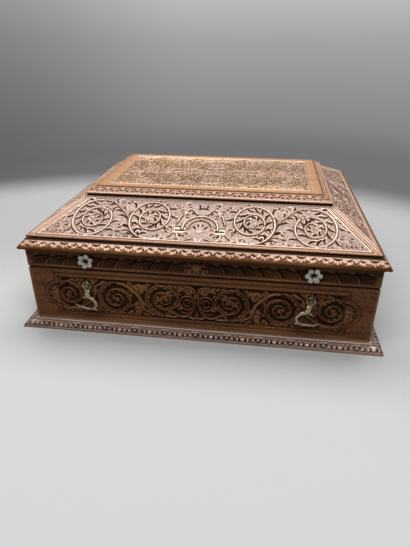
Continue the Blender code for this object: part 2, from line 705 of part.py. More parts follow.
def add_hinges(back_wall, back_rim, lid_axis, brass):
    pin_half = LEAF_LENGTH / 2
    tip = HINGE_PIN_RADIUS + RUN + HINGE_PIN_TIP / 2
    start = -pin_half - GAP
    pin = [
        (0, start - HINGE_PIN_TIP), (tip * PIN_ROUNDING, start - HINGE_PIN_TIP),
        (tip, start - HINGE_PIN_TIP / 2), (tip, start), (HINGE_PIN_RADIUS, start),
    ]
    pin += [(radius, -height) for radius, height in reversed(pin)]
    across = Matrix.Rotation(math.pi / 2, 4, "Y")
    for hand, side in HANDS:
        middle = side * HINGE_SPREAD
        add_leaf(f"{hand}_hinge_case_leaf", middle, -1, range(0, KNUCKLES, 2), brass)
        add_leaf(f"{hand}_hinge_lid_leaf", middle, 1, range(1, KNUCKLES, 2), brass, lid_axis)
        add_piece(
            f"{hand}_hinge_pin", turned(pin, place=across), brass, location=(middle, HINGE_Y, HINGE_Z),
            smooth=True,
        )
        half = LEAF_LENGTH / 2 + GAP
        front = HALF_DEPTH - (WALL - LEAF_SET_IN) - GAP
        behind = HINGE_Y + KNUCKLE_RADIUS
        sink = LEAF_THICKNESS + GAP
        low = box((middle - half, front, WALL_TOP - sink), (middle + half, behind, WALL_TOP + sink))
        high = box((middle - half, front, RIM_BASE - sink), (middle + half, behind, RIM_BASE + sink))
        combine(back_wall, [add_piece("mortise", low)], "DIFFERENCE")
        combine(back_rim, [add_piece("mortise", high)], "DIFFERENCE")
    for leaf, up, board, parent in (("case", 1, back_wall, None), ("lid", -1, back_rim, lid_axis)):
        cuts = []
        for (hand, end), place in screw_places(up).items():
            screw = turned(screw_profile(), place=place)
            add_piece(f"{hand}_hinge_{leaf}_screw_{end}", screw, brass, parent=parent, smooth=True)
            cuts.append(add_piece("screw_hole", turned(screw_profile(RUN), place=place)))
        combine(board, cuts, "DIFFERENCE")


def add_case(case_wood):
    mitred_frame("plinth_{}", plinth_profile(), 0, case_wood)
    half_width = HALF_WIDTH - WALL - GAP
    half_depth = HALF_DEPTH - WALL - GAP
    floor = box((-half_width, -half_depth, 0), (half_width, half_depth, PLINTH_HEIGHT))
    add_piece("bottom_board", floor, case_wood)
    walls = mitred_frame("{}_wall", wall_profile(), WALL_BASE, case_wood)
    for side, turn, half_length, half_span in SIDES:
        cutter = add_piece(
            "panel", panel_cutter(half_length, half_span), location=(0, 0, WALL_BASE),
            rotation=(0, 0, math.radians(turn)),
        )
        combine(walls[side], [cutter], "DIFFERENCE")
    return walls


def add_lid(lid_axis, lid_wood, top_wood):
    rims = mitred_frame("rim_{}", rim_profile(), RIM_BASE, lid_wood, lid_axis)
    mitred_frame("cornice_{}", cornice_profile(), CORNICE_BASE, lid_wood, lid_axis)
    slopes = {}
    for side, turn, half_length, half_span in SIDES:
        place = {"location": (0, 0, SLOPE_BASE), "rotation": (0, 0, math.radians(turn))}
        slopes[side] = add_piece(f"slope_{side}", slope_board(side), lid_wood, parent=lid_axis, **place)
        combine(slopes[side], [add_piece("field", slope_cutter(side), **place)], "DIFFERENCE")
        scrollwork = [add_piece("scrollwork", shape, **place) for shape in slope_ribs(side)]
        combine(slopes[side], scrollwork, "UNION")
    top_sides = []
    for side, turn, half_length, half_span in SIDES:
        halves = (TOP_WIDTH / 2, TOP_DEPTH / 2) if turn % 180 == 0 else (TOP_DEPTH / 2, TOP_WIDTH / 2)
        top_sides.append((side, turn, *halves))
    mitred_frame("top_moulding_{}", top_moulding_profile(), TOP_BASE, lid_wood, lid_axis, top_sides)
    add_top_boards(lid_axis, top_wood)
    add_pegs(slopes["front"], lid_axis, lid_wood)
    return rims


def add_top_boards(lid_axis, top_wood):
    half_width = TOP_WIDTH / 2 - TOP_MOULDING
    half_depth = TOP_DEPTH / 2 - TOP_MOULDING
    height = TOP_EDGE + TOP_RISE
    field_width = half_width - TOP_BAND
    field_depth = half_depth - TOP_BAND
    place = {"location": (0, 0, TOP_BASE)}
    for name, keep, joint in (("front", -1, TOP_JOINT - GAP / 2), ("back", 1, TOP_JOINT + GAP / 2)):
        board = box((-half_width, -half_depth, 0), (half_width, half_depth, height))
        board = add_piece(f"top_board_{name}", board, top_wood, parent=lid_axis, **place)
        low = (-field_width, -field_depth, height - TOP_SINK)
        field = box(low, (field_width, field_depth, height + TOP_SINK))
        combine(board, [add_piece("field", field, **place)], "DIFFERENCE")
        ribs = top_ribs(field_width, field_depth, height)
        combine(board, [add_piece("scrollwork", shape, **place) for shape in ribs], "UNION")
        beyond = sorted((joint, joint - keep * 2 * TOP_DEPTH))
        other = box((-TOP_WIDTH, beyond[0], -TOP_EDGE), (TOP_WIDTH, beyond[1], height + TOP_EDGE))
        combine(board, [add_piece("other_board", other, **place)], "DIFFERENCE")


def add_pegs(front_slope, lid_axis, lid_wood):
    holes = []
    face = Matrix.Translation((0, 0, SLOPE_BASE)) @ slope_place("front")
    crown = arc((0, 0), PEG_RADIUS, PEG_PROUD, 0, math.pi / 2, 3)[:-1]
    profile = [(0, -PEG_LENGTH), (PEG_RADIUS, -PEG_LENGTH)] + crown + [(0, PEG_PROUD)]
    for hand, side in HANDS:
        place = face @ Matrix.Translation((side * PEG_SPREAD, PEG_UP, 0))
        add_piece(f"{hand}_peg", turned(profile, place=place), lid_wood, parent=lid_axis, smooth=True)
        holes.append(hole(PEG_RADIUS + RUN, PEG_LENGTH + GAP, PEG_PROUD, place))
    combine(front_slope, holes, "DIFFERENCE")


def main():
    clear_scene()
    case_wood = finish("waxed dark wood", (0.085, 0.042, 0.022), 0.42)
    lid_wood = finish("waxed carved wood", (0.20, 0.105, 0.060), 0.40)
    top_wood = finish("golden wood", (0.42, 0.21, 0.085), 0.38)
    brass = finish("aged brass", (0.36, 0.29, 0.15), 0.38, 1.0)
    pewter = finish("dull pewter", (0.34, 0.34, 0.31), 0.45, 1.0)
    lid_axis = bpy.data.objects.new("lid_axis", None)
    lid_axis.location = (0, HINGE_Y, HINGE_Z)
    bpy.context.collection.objects.link(lid_axis)
    walls = add_case(case_wood)
    rims = add_lid(lid_axis, lid_wood, top_wood)
    add_latches(walls["front"], rims["front"], lid_axis, brass, pewter)
    add_hinges(walls["back"], rims["back"], lid_axis, brass)


main()
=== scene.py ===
import math
import bpy
import numpy as np
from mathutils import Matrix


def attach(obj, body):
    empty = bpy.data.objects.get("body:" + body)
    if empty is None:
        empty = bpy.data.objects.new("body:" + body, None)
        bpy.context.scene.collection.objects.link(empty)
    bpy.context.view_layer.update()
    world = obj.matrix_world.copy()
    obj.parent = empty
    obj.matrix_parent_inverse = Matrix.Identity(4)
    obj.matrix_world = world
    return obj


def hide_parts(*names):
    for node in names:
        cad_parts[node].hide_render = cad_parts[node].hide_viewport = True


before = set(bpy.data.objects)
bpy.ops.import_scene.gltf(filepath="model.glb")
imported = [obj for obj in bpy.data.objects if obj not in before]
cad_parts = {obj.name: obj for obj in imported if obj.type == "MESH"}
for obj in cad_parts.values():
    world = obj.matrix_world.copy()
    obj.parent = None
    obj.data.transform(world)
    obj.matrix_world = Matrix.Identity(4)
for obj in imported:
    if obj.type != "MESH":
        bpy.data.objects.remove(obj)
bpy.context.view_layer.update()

mm = 0.001
tau = math.tau

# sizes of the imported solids, in millimetres
solid = {
    "gap": 0.3,
    "halfWidth": 173.0,
    "halfDepth": 149.0,
    "wall": 12.0,
    "wallBase": 8.3,
    "wallHeight": 58.7,
    "rimBase": 67.3,
    "rimHeight": 18.0,
    "corniceBase": 85.6,
    "slopeBase": 97.6,
    "topBase": 123.6,
}
sides = (
    ("front", 0, solid["halfWidth"], solid["halfDepth"]),
    ("right", 90, solid["halfDepth"], solid["halfWidth"]),
    ("back", 180, solid["halfWidth"], solid["halfDepth"]),
    ("left", 270, solid["halfDepth"], solid["halfWidth"]),
)


# camera
camera = {
    "place": (0.0602, -0.5245, 0.2728),
    "turn": (62.08, -0.05, 7.84),
    "lens": 29.27,
    "sensor": 36.0,
}


def addCamera(spec):
    lens = bpy.data.cameras.new("camera")
    lens.lens = spec["lens"]
    lens.sensor_width = spec["sensor"]
    lens.clip_start = 0.01
    eye = bpy.data.objects.new("camera", lens)
    eye.location = spec["place"]
    eye.rotation_euler = [math.radians(angle) for angle in spec["turn"]]
    bpy.context.collection.objects.link(eye)
    bpy.context.scene.camera = eye


addCamera(camera)
print("camera set")


# shader wiring
class Wire:
    def __init__(self, tree, socket=None):
        self.tree = tree
        self.socket = socket

    def make(self, kind, settings=None, inputs=None, out=0):
        node = self.tree.nodes.new("ShaderNode" + kind)
        for key, value in (settings or {}).items():
            if key == "stops":
                while len(node.color_ramp.elements) < len(value):
                    node.color_ramp.elements.new(0.5)
                for stop, (at, color) in zip(node.color_ramp.elements, value):
                    stop.position = at
                    stop.color = (*color, 1)
            else:
                setattr(node, key, value)
        for key, value in (inputs or {}).items():
            if isinstance(value, Wire):
                self.tree.links.new(value.socket, node.inputs[key])
            else:
                node.inputs[key].default_value = value
        return Wire(self.tree, node.outputs[out])

    def sum(self, operation, first, second):
        return self.make("Math", {"operation": operation}, {0: first, 1: second})

    def __add__(self, other):
        return self.sum("ADD", self, other)

    def __radd__(self, other):
        return self.sum("ADD", other, self)

    def __sub__(self, other):
        return self.sum("SUBTRACT", self, other)

    def __rsub__(self, other):
        return self.sum("SUBTRACT", other, self)

    def __mul__(self, other):
        return self.sum("MULTIPLY", self, other)

    def __rmul__(self, other):
        return self.sum("MULTIPLY", other, self)

    def __pow__(self, other):
        return self.sum("POWER", self, other)

    def clamp(self, low, high):
        return self.make("MapRange", {"clamp": True}, {0: self, 1: low, 2: high, 3: 0.0, 4: 1.0})

    def mix(self, factor, first, second, blend="MIX"):
        settings = {"data_type": "RGBA", "blend_type": blend, "clamp_factor": True}
        first = first if isinstance(first, Wire) else (*first, 1)
        second = second if isinstance(second, Wire) else (*second, 1)
        return self.make("Mix", settings, {0: factor, 6: first, 7: second}, out=2)

    def stretch(self, coords, scale):
        return self.make("VectorMath", {"operation": "MULTIPLY"}, {0: coords, 1: scale})

    def noise(self, coords, scale, detail=4.0, rough=0.55):
        spec = {"Vector": coords, "Scale": scale, "Detail": detail, "Roughness": rough}
        return self.make("TexNoise", {}, spec)


def newLook(name):
    material = bpy.data.materials.new(name)
    material.use_nodes = True
    tree = material.node_tree
    shader = tree.nodes["Principled BSDF"]
    return material, Wire(tree), shader


def feed(wire, shader, values):
    for key, value in values.items():
        if isinstance(value, Wire):
            wire.tree.links.new(value.socket, shader.inputs[key])
        else:
            shader.inputs[key].default_value = value


# waxed wood: grain along the board, high places lighter from wear (on the case wood a painted sheen), hollows
# darker from grime and painted shade, a painted highlight on ridge crests, punched ground
# in each tone set, pale is a painted highlight that ridge crests are lifted toward by lift, and hollow is the
# dark of grime and painted shade
woods = {
    "caseWood": {
        "dark": (0.042, 0.013, 0.004), "mid": (0.092, 0.031, 0.0082), "light": (0.145, 0.053, 0.0115),
        # the greyer light tone that starts the next line is painted sheen on the raised carving of the walls
        # and rim
        "rubbedAndSheen": (0.175, 0.090, 0.040), "hollow": (0.009, 0.0026, 0.0003), "pale": (0.145, 0.053, 0.0115),
        "polish": 0.45, "coat": 0.0, "gloss": 0.14, "lift": 0.0,
    },
    "lidWood": {
        "dark": (0.118, 0.050, 0.025), "mid": (0.190, 0.087, 0.047), "light": (0.255, 0.118, 0.060),
        "rubbedAndSheen": (0.270, 0.100, 0.022), "hollow": (0.008, 0.0028, 0.0008), "pale": (0.480, 0.330, 0.245),
        "polish": 0.30, "coat": 1.0, "gloss": 0.25, "lift": 0.90,
    },
    "plinthWood": {
        "dark": (0.070, 0.036, 0.023), "mid": (0.118, 0.062, 0.040), "light": (0.165, 0.090, 0.058),
        "rubbedAndSheen": (0.190, 0.105, 0.070), "hollow": (0.006, 0.0028, 0.0015), "pale": (0.250, 0.160, 0.115),
        "polish": 0.30, "coat": 1.0, "gloss": 0.25, "lift": 0.60,
    },
    "corniceWood": {
        "dark": (0.260, 0.115, 0.052), "mid": (0.370, 0.176, 0.084), "light": (0.460, 0.230, 0.115),
        # the dark golden tone that starts the next line colours the plain nose: its own colour, darkened
        # further as painted shade
        "rubbedAndSheen": (0.098, 0.030, 0.001), "hollow": (0.008, 0.003, 0.002), "pale": (0.460, 0.230, 0.115),
        "polish": 0.32, "coat": 1.0, "gloss": 0.04, "lift": 0.0,
    },
    "topWood": {
        "dark": (0.125, 0.052, 0.015), "mid": (0.265, 0.124, 0.038), "light": (0.370, 0.185, 0.058),
        "rubbedAndSheen": (0.215, 0.084, 0.020), "hollow": (0.010, 0.004, 0.002), "pale": (0.420, 0.240, 0.105),
        "polish": 0.33, "coat": 0.92, "gloss": 0.5, "lift": 0.5,
    },
}
grain = {
    "streaks": (14.0, 260.0, 260.0), "pores": (90.0, 1500.0, 1500.0), "patches": (9.0, 26.0, 26.0),
    "grime": 340.0, "punches": 440.0, "bump": 0.55, "bumpDepth": 0.0006, "coatRough": 0.19,
}


def waxedWood(name, tones, carried=False):
    material, w, shader = newLook(name)
    if carried:
        coords = w.make("TexCoord", {}, {}, out=3)
    else:
        coords = w.make("Attribute", {"attribute_name": "grain"}, {}, out=1)
    marks = ("depth", "ground", "worn", "crest")
    depth, ground, worn, crest = (w.make("Attribute", {"attribute_name": key}, {}, out=2) for key in marks)
    streaks = w.noise(w.stretch(coords, grain["streaks"]), 1.0, 6.0, 0.6)
    pores = w.noise(w.stretch(coords, grain["pores"]), 1.0, 2.0, 0.5)
    patches = w.noise(w.stretch(coords, grain["patches"]), 1.0, 3.0, 0.5)
    grime = w.noise(coords, grain["grime"], 3.0, 0.6)
    punches = w.make("TexVoronoi", {"feature": "F1"}, {"Vector": coords, "Scale": grain["punches"]})
    pits = (1.0 - punches.clamp(0.15, 0.50)) * ground
    color = w.mix(streaks.clamp(0.35, 0.68), tones["dark"], tones["mid"])
    color = w.mix(patches.clamp(0.45, 0.72), color, tones["light"])
    color = w.mix(pores.clamp(0.60, 0.78) * 0.5, color, tones["dark"])
    high = (1.0 - depth).clamp(0.80, 1.0)
    # high places and board ends lighter from wear; on the case wood that tone is a painted sheen
    wearAndSheenMix = worn * (0.55 + 0.40 * streaks.clamp(0.36, 0.58))
    color = w.mix(high * grime.clamp(0.42, 0.70) * 0.40 + wearAndSheenMix, color, tones["rubbedAndSheen"])
    # painted highlight: ridge crests lifted toward the pale tone
    color = w.mix(crest * (1.0 - worn) * tones["lift"], color, tones["pale"])
    color = w.mix(ground * 0.30, color, tones["dark"])
    color = w.mix(pits * 0.85, color, tones["hollow"])
    # grime and painted shade: deep cuts and the shade marks the carvings return go toward the hollow tone
    color = w.mix(depth.clamp(0.0, 0.9) * 0.92, color, tones["hollow"])
    rough = tones["polish"] + 0.42 * depth + 0.16 * grime.clamp(0.3, 0.8) + 0.22 * worn + 0.10 * ground
    relief = pits * -0.45 + pores * -0.06 + streaks * 0.05 + grime * 0.10
    bump = {"Strength": grain["bump"], "Distance": grain["bumpDepth"], "Height": relief}
    normal = w.make("Bump", {}, bump)
    coat = tones["coat"] * (1.0 - depth) * (1.0 - 0.95 * worn) * (0.6 + 0.4 * crest) * (1.0 - 0.6 * pits)
    coat = coat * (0.80 + 0.40 * patches.clamp(0.35, 0.65))
    feed(w, shader, {"Base Color": color, "Roughness": rough, "Normal": normal, "Coat Weight": coat})
    feed(w, shader, {"Coat Roughness": grain["coatRough"], "Specular IOR Level": tones["gloss"]})
    return material


# cast metal: dull skin with bright places, from wear and from painted highlights
metals = {
    "agedBrass": {
        "dull": (0.10, 0.080, 0.047), "bright": (0.58, 0.49, 0.33), "rough": 0.15, "share": (0.50, 0.76),
    },
    "pewter": {
        "dull": (0.12, 0.12, 0.10), "bright": (0.60, 0.575, 0.51), "rough": 0.36, "share": (0.46, 0.72),
    },
}
casting = {"cloud": 420.0, "grit": 2600.0, "bump": 0.35, "bumpDepth": 0.0003}


def castMetal(name, tones):
    material, w, shader = newLook(name)
    coords = w.make("TexCoord", {}, {}, out=3)
    worn = w.make("Attribute", {"attribute_name": "worn"}, {}, out=2)
    cloud = w.noise(coords, casting["cloud"], 4.0, 0.6)
    grit = w.noise(coords, casting["grit"], 2.0, 0.5)
    # bright places: random cloud plus the piece's mark of wear and painted highlight
    bright = (cloud.clamp(*tones["share"]) * 0.6 + worn).clamp(0.0, 1.0)
    color = w.mix(bright, tones["dull"], tones["bright"])
    rough = tones["rough"] + 0.12 * (1.0 - bright) + 0.08 * grit
    bump = {"Strength": casting["bump"], "Distance": casting["bumpDepth"], "Height": grit * 0.5 + cloud}
    normal = w.make("Bump", {}, bump)
    feed(w, shader, {"Base Color": color, "Metallic": 1.0, "Roughness": rough, "Normal": normal})
    return material


looks = {name: waxedWood(name, tones) for name, tones in woods.items()}
looks.update({name: castMetal(name, tones) for name, tones in metals.items()})
looks["plainCaseWood"] = waxedWood("plainCaseWood", woods["caseWood"], carried=True)
looks["plainLidWood"] = waxedWood("plainLidWood", woods["lidWood"], carried=True)
print("materials made:", ", ".join(looks))


# a carving is a height map in millimetres: 0 is the untouched face, below it is cut away
class Carving:
    def __init__(self, low, high, ground, pitch=0.3, shadow=0.0):
        self.low = low
        self.pitch = pitch
        self.ground = ground
        self.xs = np.arange(low[0], high[0] + pitch, pitch)
        self.vs = np.arange(low[1], high[1] + pitch, pitch)
        self.height = np.full((len(self.vs), len(self.xs)), float(ground))
        self.groove = 0.6          # width of the groove beside a raised line
        self.shadow = shadow       # how far that groove moves to the lower side
        self.put()

    def put(self, x=0.0, v=0.0, flipX=1, flipV=1, size=1.0):     # where and how large the next strokes are
        self.spot = np.array((x, v))
        self.flip = np.array((flipX, flipV)) * size
        self.size = size

    def stroke(self, points, widths, tops, crown=0.5, cut=False, steep=1.5):
        points = np.asarray(points, float) * self.flip + self.spot
        count = len(points)
        widths = np.broadcast_to(np.asarray(widths, float) * self.size, (count,))
        tops = np.broadcast_to(np.asarray(tops, float), (count,))
        for k in range(count - 1):
            reach = max(widths[k], widths[k + 1]) + self.pitch
            low = np.minimum(points[k], points[k + 1]) - reach - self.low
            high = np.maximum(points[k], points[k + 1]) + reach - self.low
            i0, j0 = np.maximum((low / self.pitch).astype(int), 0)
            i1, j1 = (high / self.pitch).astype(int) + 2
            part = self.height[j0:max(j1, 0), i0:max(i1, 0)]
            if part.size == 0:
                continue
            gx = self.xs[None, i0:i1] - points[k][0]
            gv = self.vs[j0:j1, None] - points[k][1]
            dx, dv = points[k + 1] - points[k]
            t = np.clip((gx * dx + gv * dv) / max(dx * dx + dv * dv, 1e-9), 0, 1)
            wide = widths[k] + t * (widths[k + 1] - widths[k])
            edge = np.clip(np.hypot(gx - t * dx, gv - t * dv) / np.maximum(wide, 1e-3), 0, 1)
            top = tops[k] + t * (tops[k + 1] - tops[k])
            if cut:
                np.minimum(part, np.where(edge < 1, top * (1 - edge ** steep), 9.0), out=part)
            else:
                rise = self.ground + (top - self.ground) * (1 - edge ** 2) ** crown
                np.maximum(part, np.where(edge < 1, rise, -9.0), out=part)

    def settle(self, reach=1.5, deeper=0.7):      # the ground is cut deeper beside the raised work
        raised = (self.height > self.ground + 0.25).astype(float)
        near = raised
        n = int(reach / self.pitch)
        for axis in (0, 0, 1, 1):
            pad = [(n + 1, n) if k == axis else (0, 0) for k in (0, 1)]
            total = np.cumsum(np.pad(near, pad, mode="edge"), axis=axis)
            width = 2 * n + 1
            ends = (total[width:], total[:-width]) if axis == 0 else (total[:, width:], total[:, :-width])
            near = (ends[0] - ends[1]) / width
        self.height -= deeper * near * (1 - raised)
        return self

    def at(self, x, v):
        fx = np.clip((x - self.low[0]) / self.pitch, 0, len(self.xs) - 1.001)
        fv = np.clip((v - self.low[1]) / self.pitch, 0, len(self.vs) - 1.001)
        i, j = fx.astype(int), fv.astype(int)
        a, b = fx - i, fv - j
        h = self.height
        lower = h[j, i] * (1 - a) + h[j, i + 1] * a
        upper = h[j + 1, i] * (1 - a) + h[j + 1, i + 1] * a
        return lower * (1 - b) + upper * b


def through(knots, steps=10):        # smooth curve through a few points
    k = np.asarray(knots, float)
    pad = np.vstack([2 * k[0] - k[1], k, 2 * k[-1] - k[-2]])
    runs = []
    for i in range(1, len(pad) - 2):
        a, b, c, d = pad[i - 1:i + 3]
        t = np.linspace(0, 1, steps, endpoint=False)[:, None]
        bend = (2 * a - 5 * b + 4 * c - d) / 2 + t * (3 * b - a - 3 * c + d) / 2
        runs.append(b + t * ((c - a) / 2 + t * bend))
    return np.vstack(runs + [k[-1:]])


def march(start, angle, length, bend, steps):       # points that turn evenly by bend
    t = np.linspace(0, 1, steps)
    turn = angle + bend * t
    step = length / (steps - 1)
    x = start[0] + np.concatenate([[0], np.cumsum(np.cos(turn[:-1]) * step)])
    v = start[1] + np.concatenate([[0], np.cumsum(np.sin(turn[:-1]) * step)])
    return np.column_stack([x, v]), turn, t


def lobe(c, start, angle, length, wide, bend, top):
    path, turn, t = march(start, angle, length, bend, 7)
    c.stroke(path, wide * np.sin(math.pi * (0.22 + 0.74 * t)) + 0.12, top - 0.25 * t)


def comma(c, start, angle, length, wide, bend, depth):       # curved cut, deep at its round end
    path, turn, t = march(start, angle, length, bend, 6)
    c.stroke(path, wide * (1 - 0.8 * t), depth * (1 - 0.45 * t), cut=True)


def leaf(c, base, angle, length, bend=0.0, spread=0.5, lobes=4, top=-0.2):
    rib, turn, t = march(base, angle, length, bend, 24)
    last = len(rib) - 1
    c.stroke(rib, 0.15 * length * (1 - 0.8 * t) + 0.4, top - 0.2)
    for k in range(lobes):
        share = (k + 0.2) / (lobes + 0.4)
        i = int(share * last)
        size = spread * length * (1 - 0.6 * share)
        for side in (-1, 1):
            lobe(c, rib[i], turn[i] + side * 1.0, size, 0.30 * size + 0.3, -side * 0.85, top)
    tip = int(0.6 * last)
    lobe(c, rib[tip], turn[tip], 0.42 * length, 0.10 * length + 0.3, bend * 0.4, top)
    for k in range(lobes):
        share = (k + 0.75) / (lobes + 0.4)
        i = int(share * last)
        size = 0.55 * spread * length * (1 - 0.6 * share)
        for side in (-1, 1):
            way = turn[i] + side * 1.2
            off = np.array([math.cos(way), math.sin(way)]) * 0.3 * size
            comma(c, rib[i] + off, turn[i] + side * 1.0, size, 0.62, -side * 0.7, -2.3)
    c.stroke(rib[2:-3], 0.45, top - 0.7, cut=True)


def ridge(c, path, wide, top):       # a raised line between two grooves
    below = np.asarray(path, float) - (0, c.shadow / c.size)
    c.stroke(below, np.asarray(wide) + c.groove / c.size, c.ground - 1.2, cut=True, steep=6)
    c.stroke(path, wide, top, crown=0.6)


coil = (       # reach left after so many turns
    (0.0, 1.0), (0.25, 0.96), (0.5, 0.93), (0.75, 0.88), (1.0, 0.57), (1.25, 0.50), (1.5, 0.49), (1.75, 0.44),
    (2.0, 0.22), (2.25, 0.08),
)


def spiral(center, radius, start, hand, turns, narrow=1.0):
    t = np.linspace(0, turns, int(28 * turns))
    knots = through(coil, 8)
    reach = radius * np.interp(t, knots[:, 0], knots[:, 1])
    angle = start + hand * tau * t
    off = np.column_stack([narrow * reach * np.cos(angle), reach * np.sin(angle)])
    return np.asarray(center, float) + off


def nick(c, points, bold=1.0):       # a crescent cut, thick in the middle
    path = through(points, 5)
    t = np.linspace(0, 1, len(path))
    c.stroke(path, bold * (0.30 + 0.85 * np.sin(math.pi * (0.12 + 0.80 * t))), -3.2, cut=True)


def scroll(c, center, radius, start, hand, crest, lining=(11, 0.05, 0.98), turns=2.2, narrow=1.0, thick=1.0):
    path = spiral(center, radius, start, hand, turns, narrow)
    center = np.asarray(center, float)
    count = len(path)

    def onStem(share):
        i = min(max(int(share / turns * (count - 1)), 1), count - 2)
        way = path[i + 1] - path[i - 1]
        return path[i], math.atan2(way[1], way[0])

    def lobes(count, begin, end, side, length, wide, top, lag, curl):
        for k in range(count):
            part = k / max(count - 1, 1)
            spot, along = onStem(begin + (end - begin) * part)
            size = length * radius * (1.1 - 0.35 * part)
            lobe(c, spot, along + side * lag, size, wide * size, -side * curl, top)

    def eyes(count, begin, end, side, length, wide, lag, curl):
        for k in range(count):
            part = (k + 0.5) / max(count - 1, 1)
            spot, along = onStem(begin + (end - begin) * part)
            out = np.array([math.cos(along + side * math.pi / 2), math.sin(along + side * math.pi / 2)])
            size = length * radius * (1.1 - 0.35 * part)
            comma(c, spot + out * 0.13 * radius, along + side * lag, size, wide * radius, -side * curl, -2.6)

    body = path[int(lining[1] / turns * count):int(lining[2] / turns * count)]
    c.stroke(body + 0.08 * (center - body), 0.07 * radius, 0.3 * c.ground)
    lobes(*lining, hand, 0.50, 0.17, -0.05, 0.70, 0.35)
    lobes(*crest, -hand, 0.36, 0.30, -0.05, 0.80, 1.0)
    lobes(6, 1.0, 1.75, hand, 0.32, 0.22, -0.15, 0.80, 0.5)
    eyes(*lining, hand, 0.22, 0.045, 1.0, 1.2)
    eyes(*crest, -hand, 0.22, 0.050, 0.8, 1.0)
    wide = np.linspace(0.050, 0.036, count) * radius * thick
    ridge(c, path, wide, np.linspace(0.0, -0.2, count))
    c.stroke([path[-1], path[-1] + 0.01], 0.085 * radius, -0.05, crown=0.6)


def stem(c, knots, wide, top=0.0):
    path = through(knots)
    ridge(c, path, np.linspace(wide[0], wide[1], len(path)), top)


golden = 0.618       # spreads the sizes of neighbours evenly


def beside(path, run, side, off, length, lean, bend):       # short curves along one side of a path
    begin, end, count = run
    way = np.gradient(path, axis=0)
    made = []
    for k, share in enumerate(np.linspace(begin, end, count)):
        i = int(share * (len(path) - 1))
        along = math.atan2(way[i, 1], way[i, 0])
        out = along + side * math.pi / 2
        first = path[i] + off * np.array([math.cos(out), math.sin(out)])
        size = length * (0.8 + 0.4 * (golden * k % 1.0))
        made.append(march(first, along + side * lean, size, -side * bend, 4)[0])
    return made


rinceau = {
    "coils": (((52, 35.5), -1.65, 1), ((111, 33.5), 1.67, -1)), "radius": 28, "turns": 2.25, "narrow": 0.78,
    "wide": (1.15, 0.75), "bud": 1.6, "band": 2.3, "bold": 1.05,
    "lining": {"run": (0.04, 0.44, 13), "off": 2.4, "length": 8.5, "lean": 1.9, "bend": -0.9},
    "inner": {"run": (0.46, 0.82, 7), "off": 2.2, "length": 4.5, "lean": 1.9, "bend": -0.8},
    "crest": {"run": (0.04, 0.38, 9), "off": 2.2, "length": 7.0, "lean": 0.6, "bend": -1.1},
    "branch": {"run": (0.12, 0.85, 6), "off": 2.4, "length": 6.5, "lean": 0.5, "bend": -0.9},
    "filler": 9.0, "seed": 5, "fillFrom": (14, 8), "fillTo": (150, 60),
    "foot": ((23.5, 23), (29, 13), (38, 8), (48, 7)),
    "fork": ((66.5, 14.5), (72.5, 17.5), (78, 17), (82.5, 15)),
    "main": ((56, 7), (61, 9), (66.5, 14.5), (71.5, 26), (77, 39), (84, 48), (94, 58), (104, 61.5)),
}


def halfRinceau(c):        # right half of a slope's scrollwork, from the medallion to the corner
    spec = rinceau
    main = through(spec["main"])
    coils = [spiral(center, spec["radius"], begin, hand, spec["turns"], spec["narrow"])
             for center, begin, hand in spec["coils"]]
    cuts = beside(main, side=1, **spec["branch"]) + beside(main, side=-1, **spec["branch"])
    for path, (center, begin, hand) in zip(coils, spec["coils"]):
        cuts += beside(path, side=hand, **spec["lining"]) + beside(path, side=hand, **spec["inner"])
        cuts += beside(path, side=-hand, **spec["crest"])
    for points in cuts:
        c.stroke(through(points, 5) + (0, 1.0), spec["band"], 0.0, crown=0.7)
    leaf(c, (131, 10.5), -0.02, 25, bend=0.05, lobes=5, spread=0.26)
    stem(c, spec["foot"], (0.9, 0.8))
    stem(c, spec["main"], (0.7, 0.9))
    stem(c, spec["fork"], (0.8, 0.5))
    for path in coils:
        ridge(c, path, np.linspace(*spec["wide"], len(path)), 0.0)
        c.stroke([path[-1], path[-1] + 0.01], spec["bud"], 0.0)
    for points in cuts:
        nick(c, points, spec["bold"])


def archMedallion(c, crowned):
    for flip in (-1, 1):
        for up in (18.2, 23.2):
            c.stroke([(flip * 13, up), (flip * 24, up)], 2.0, 0)
        for low, high, up in ((11.5, 23.5, 20.6), (15, 24.5, 25.8)):
            c.stroke([(flip * low, up), (flip * high, up)], 0.8, -2.0, cut=True)
        stem(c, [(flip * x, v) for x, v in ((7.5, 10), (14.5, 7.6), (19.5, 10.5), (21.5, 16))], (0.8, 1.0))
        nick(c, [(flip * x, v) for x, v in ((14.5, 14), (17, 12.5), (20, 15.5))])
        if crowned:
            crown = ((5, 45.5), (8, 50), (12.5, 53), (17.5, 48.5), (21, 42), (24, 31))
            stem(c, [(flip * x, v) for x, v in crown], (1.0, 0.8))
            nick(c, [(flip * 4.2, 60), (flip * 3.6, 55.5)], 0.6)
            for x, v in ((9, 47.5), (11.8, 46.5), (14.5, 46.2)):
                nick(c, [(flip * x, v), (flip * (x + 1.4), v - 1.6)])
            nick(c, [(flip * 5, 53.2), (flip * 2.4, 54.6), (0, 55)])
    angle = np.linspace(-0.12, math.pi + 0.12, 40)
    for radius, wide, top in ((17.5, 1.1, 0.0), (12.2, 0.9, -0.2)):
        ridge(c, np.column_stack([radius * np.cos(angle), 25 + radius * np.sin(angle)]), wide, top)
    for lean in (-1.0, -0.5, 0.0, 0.5, 1.0):
        lobe(c, (0, 18.5), math.pi / 2 + lean, 14 - 3 * abs(lean), 1.4, 0.0, -0.22)
    c.stroke([(0, 18.5), (0.01, 18.5)], 1.6, -0.2)
    for flip in (-1, 1):
        nick(c, [(flip * 4.2, 24.2), (flip * 7.2, 27.6)], 0.7)
        nick(c, [(flip * 1.8, 27.5), (flip * 2.6, 31.0)], 0.4)
        lobe(c, (flip * 1.5, 7.4), math.pi / 2 - flip * 0.5, 6, 1.6, 0.0, -0.1)


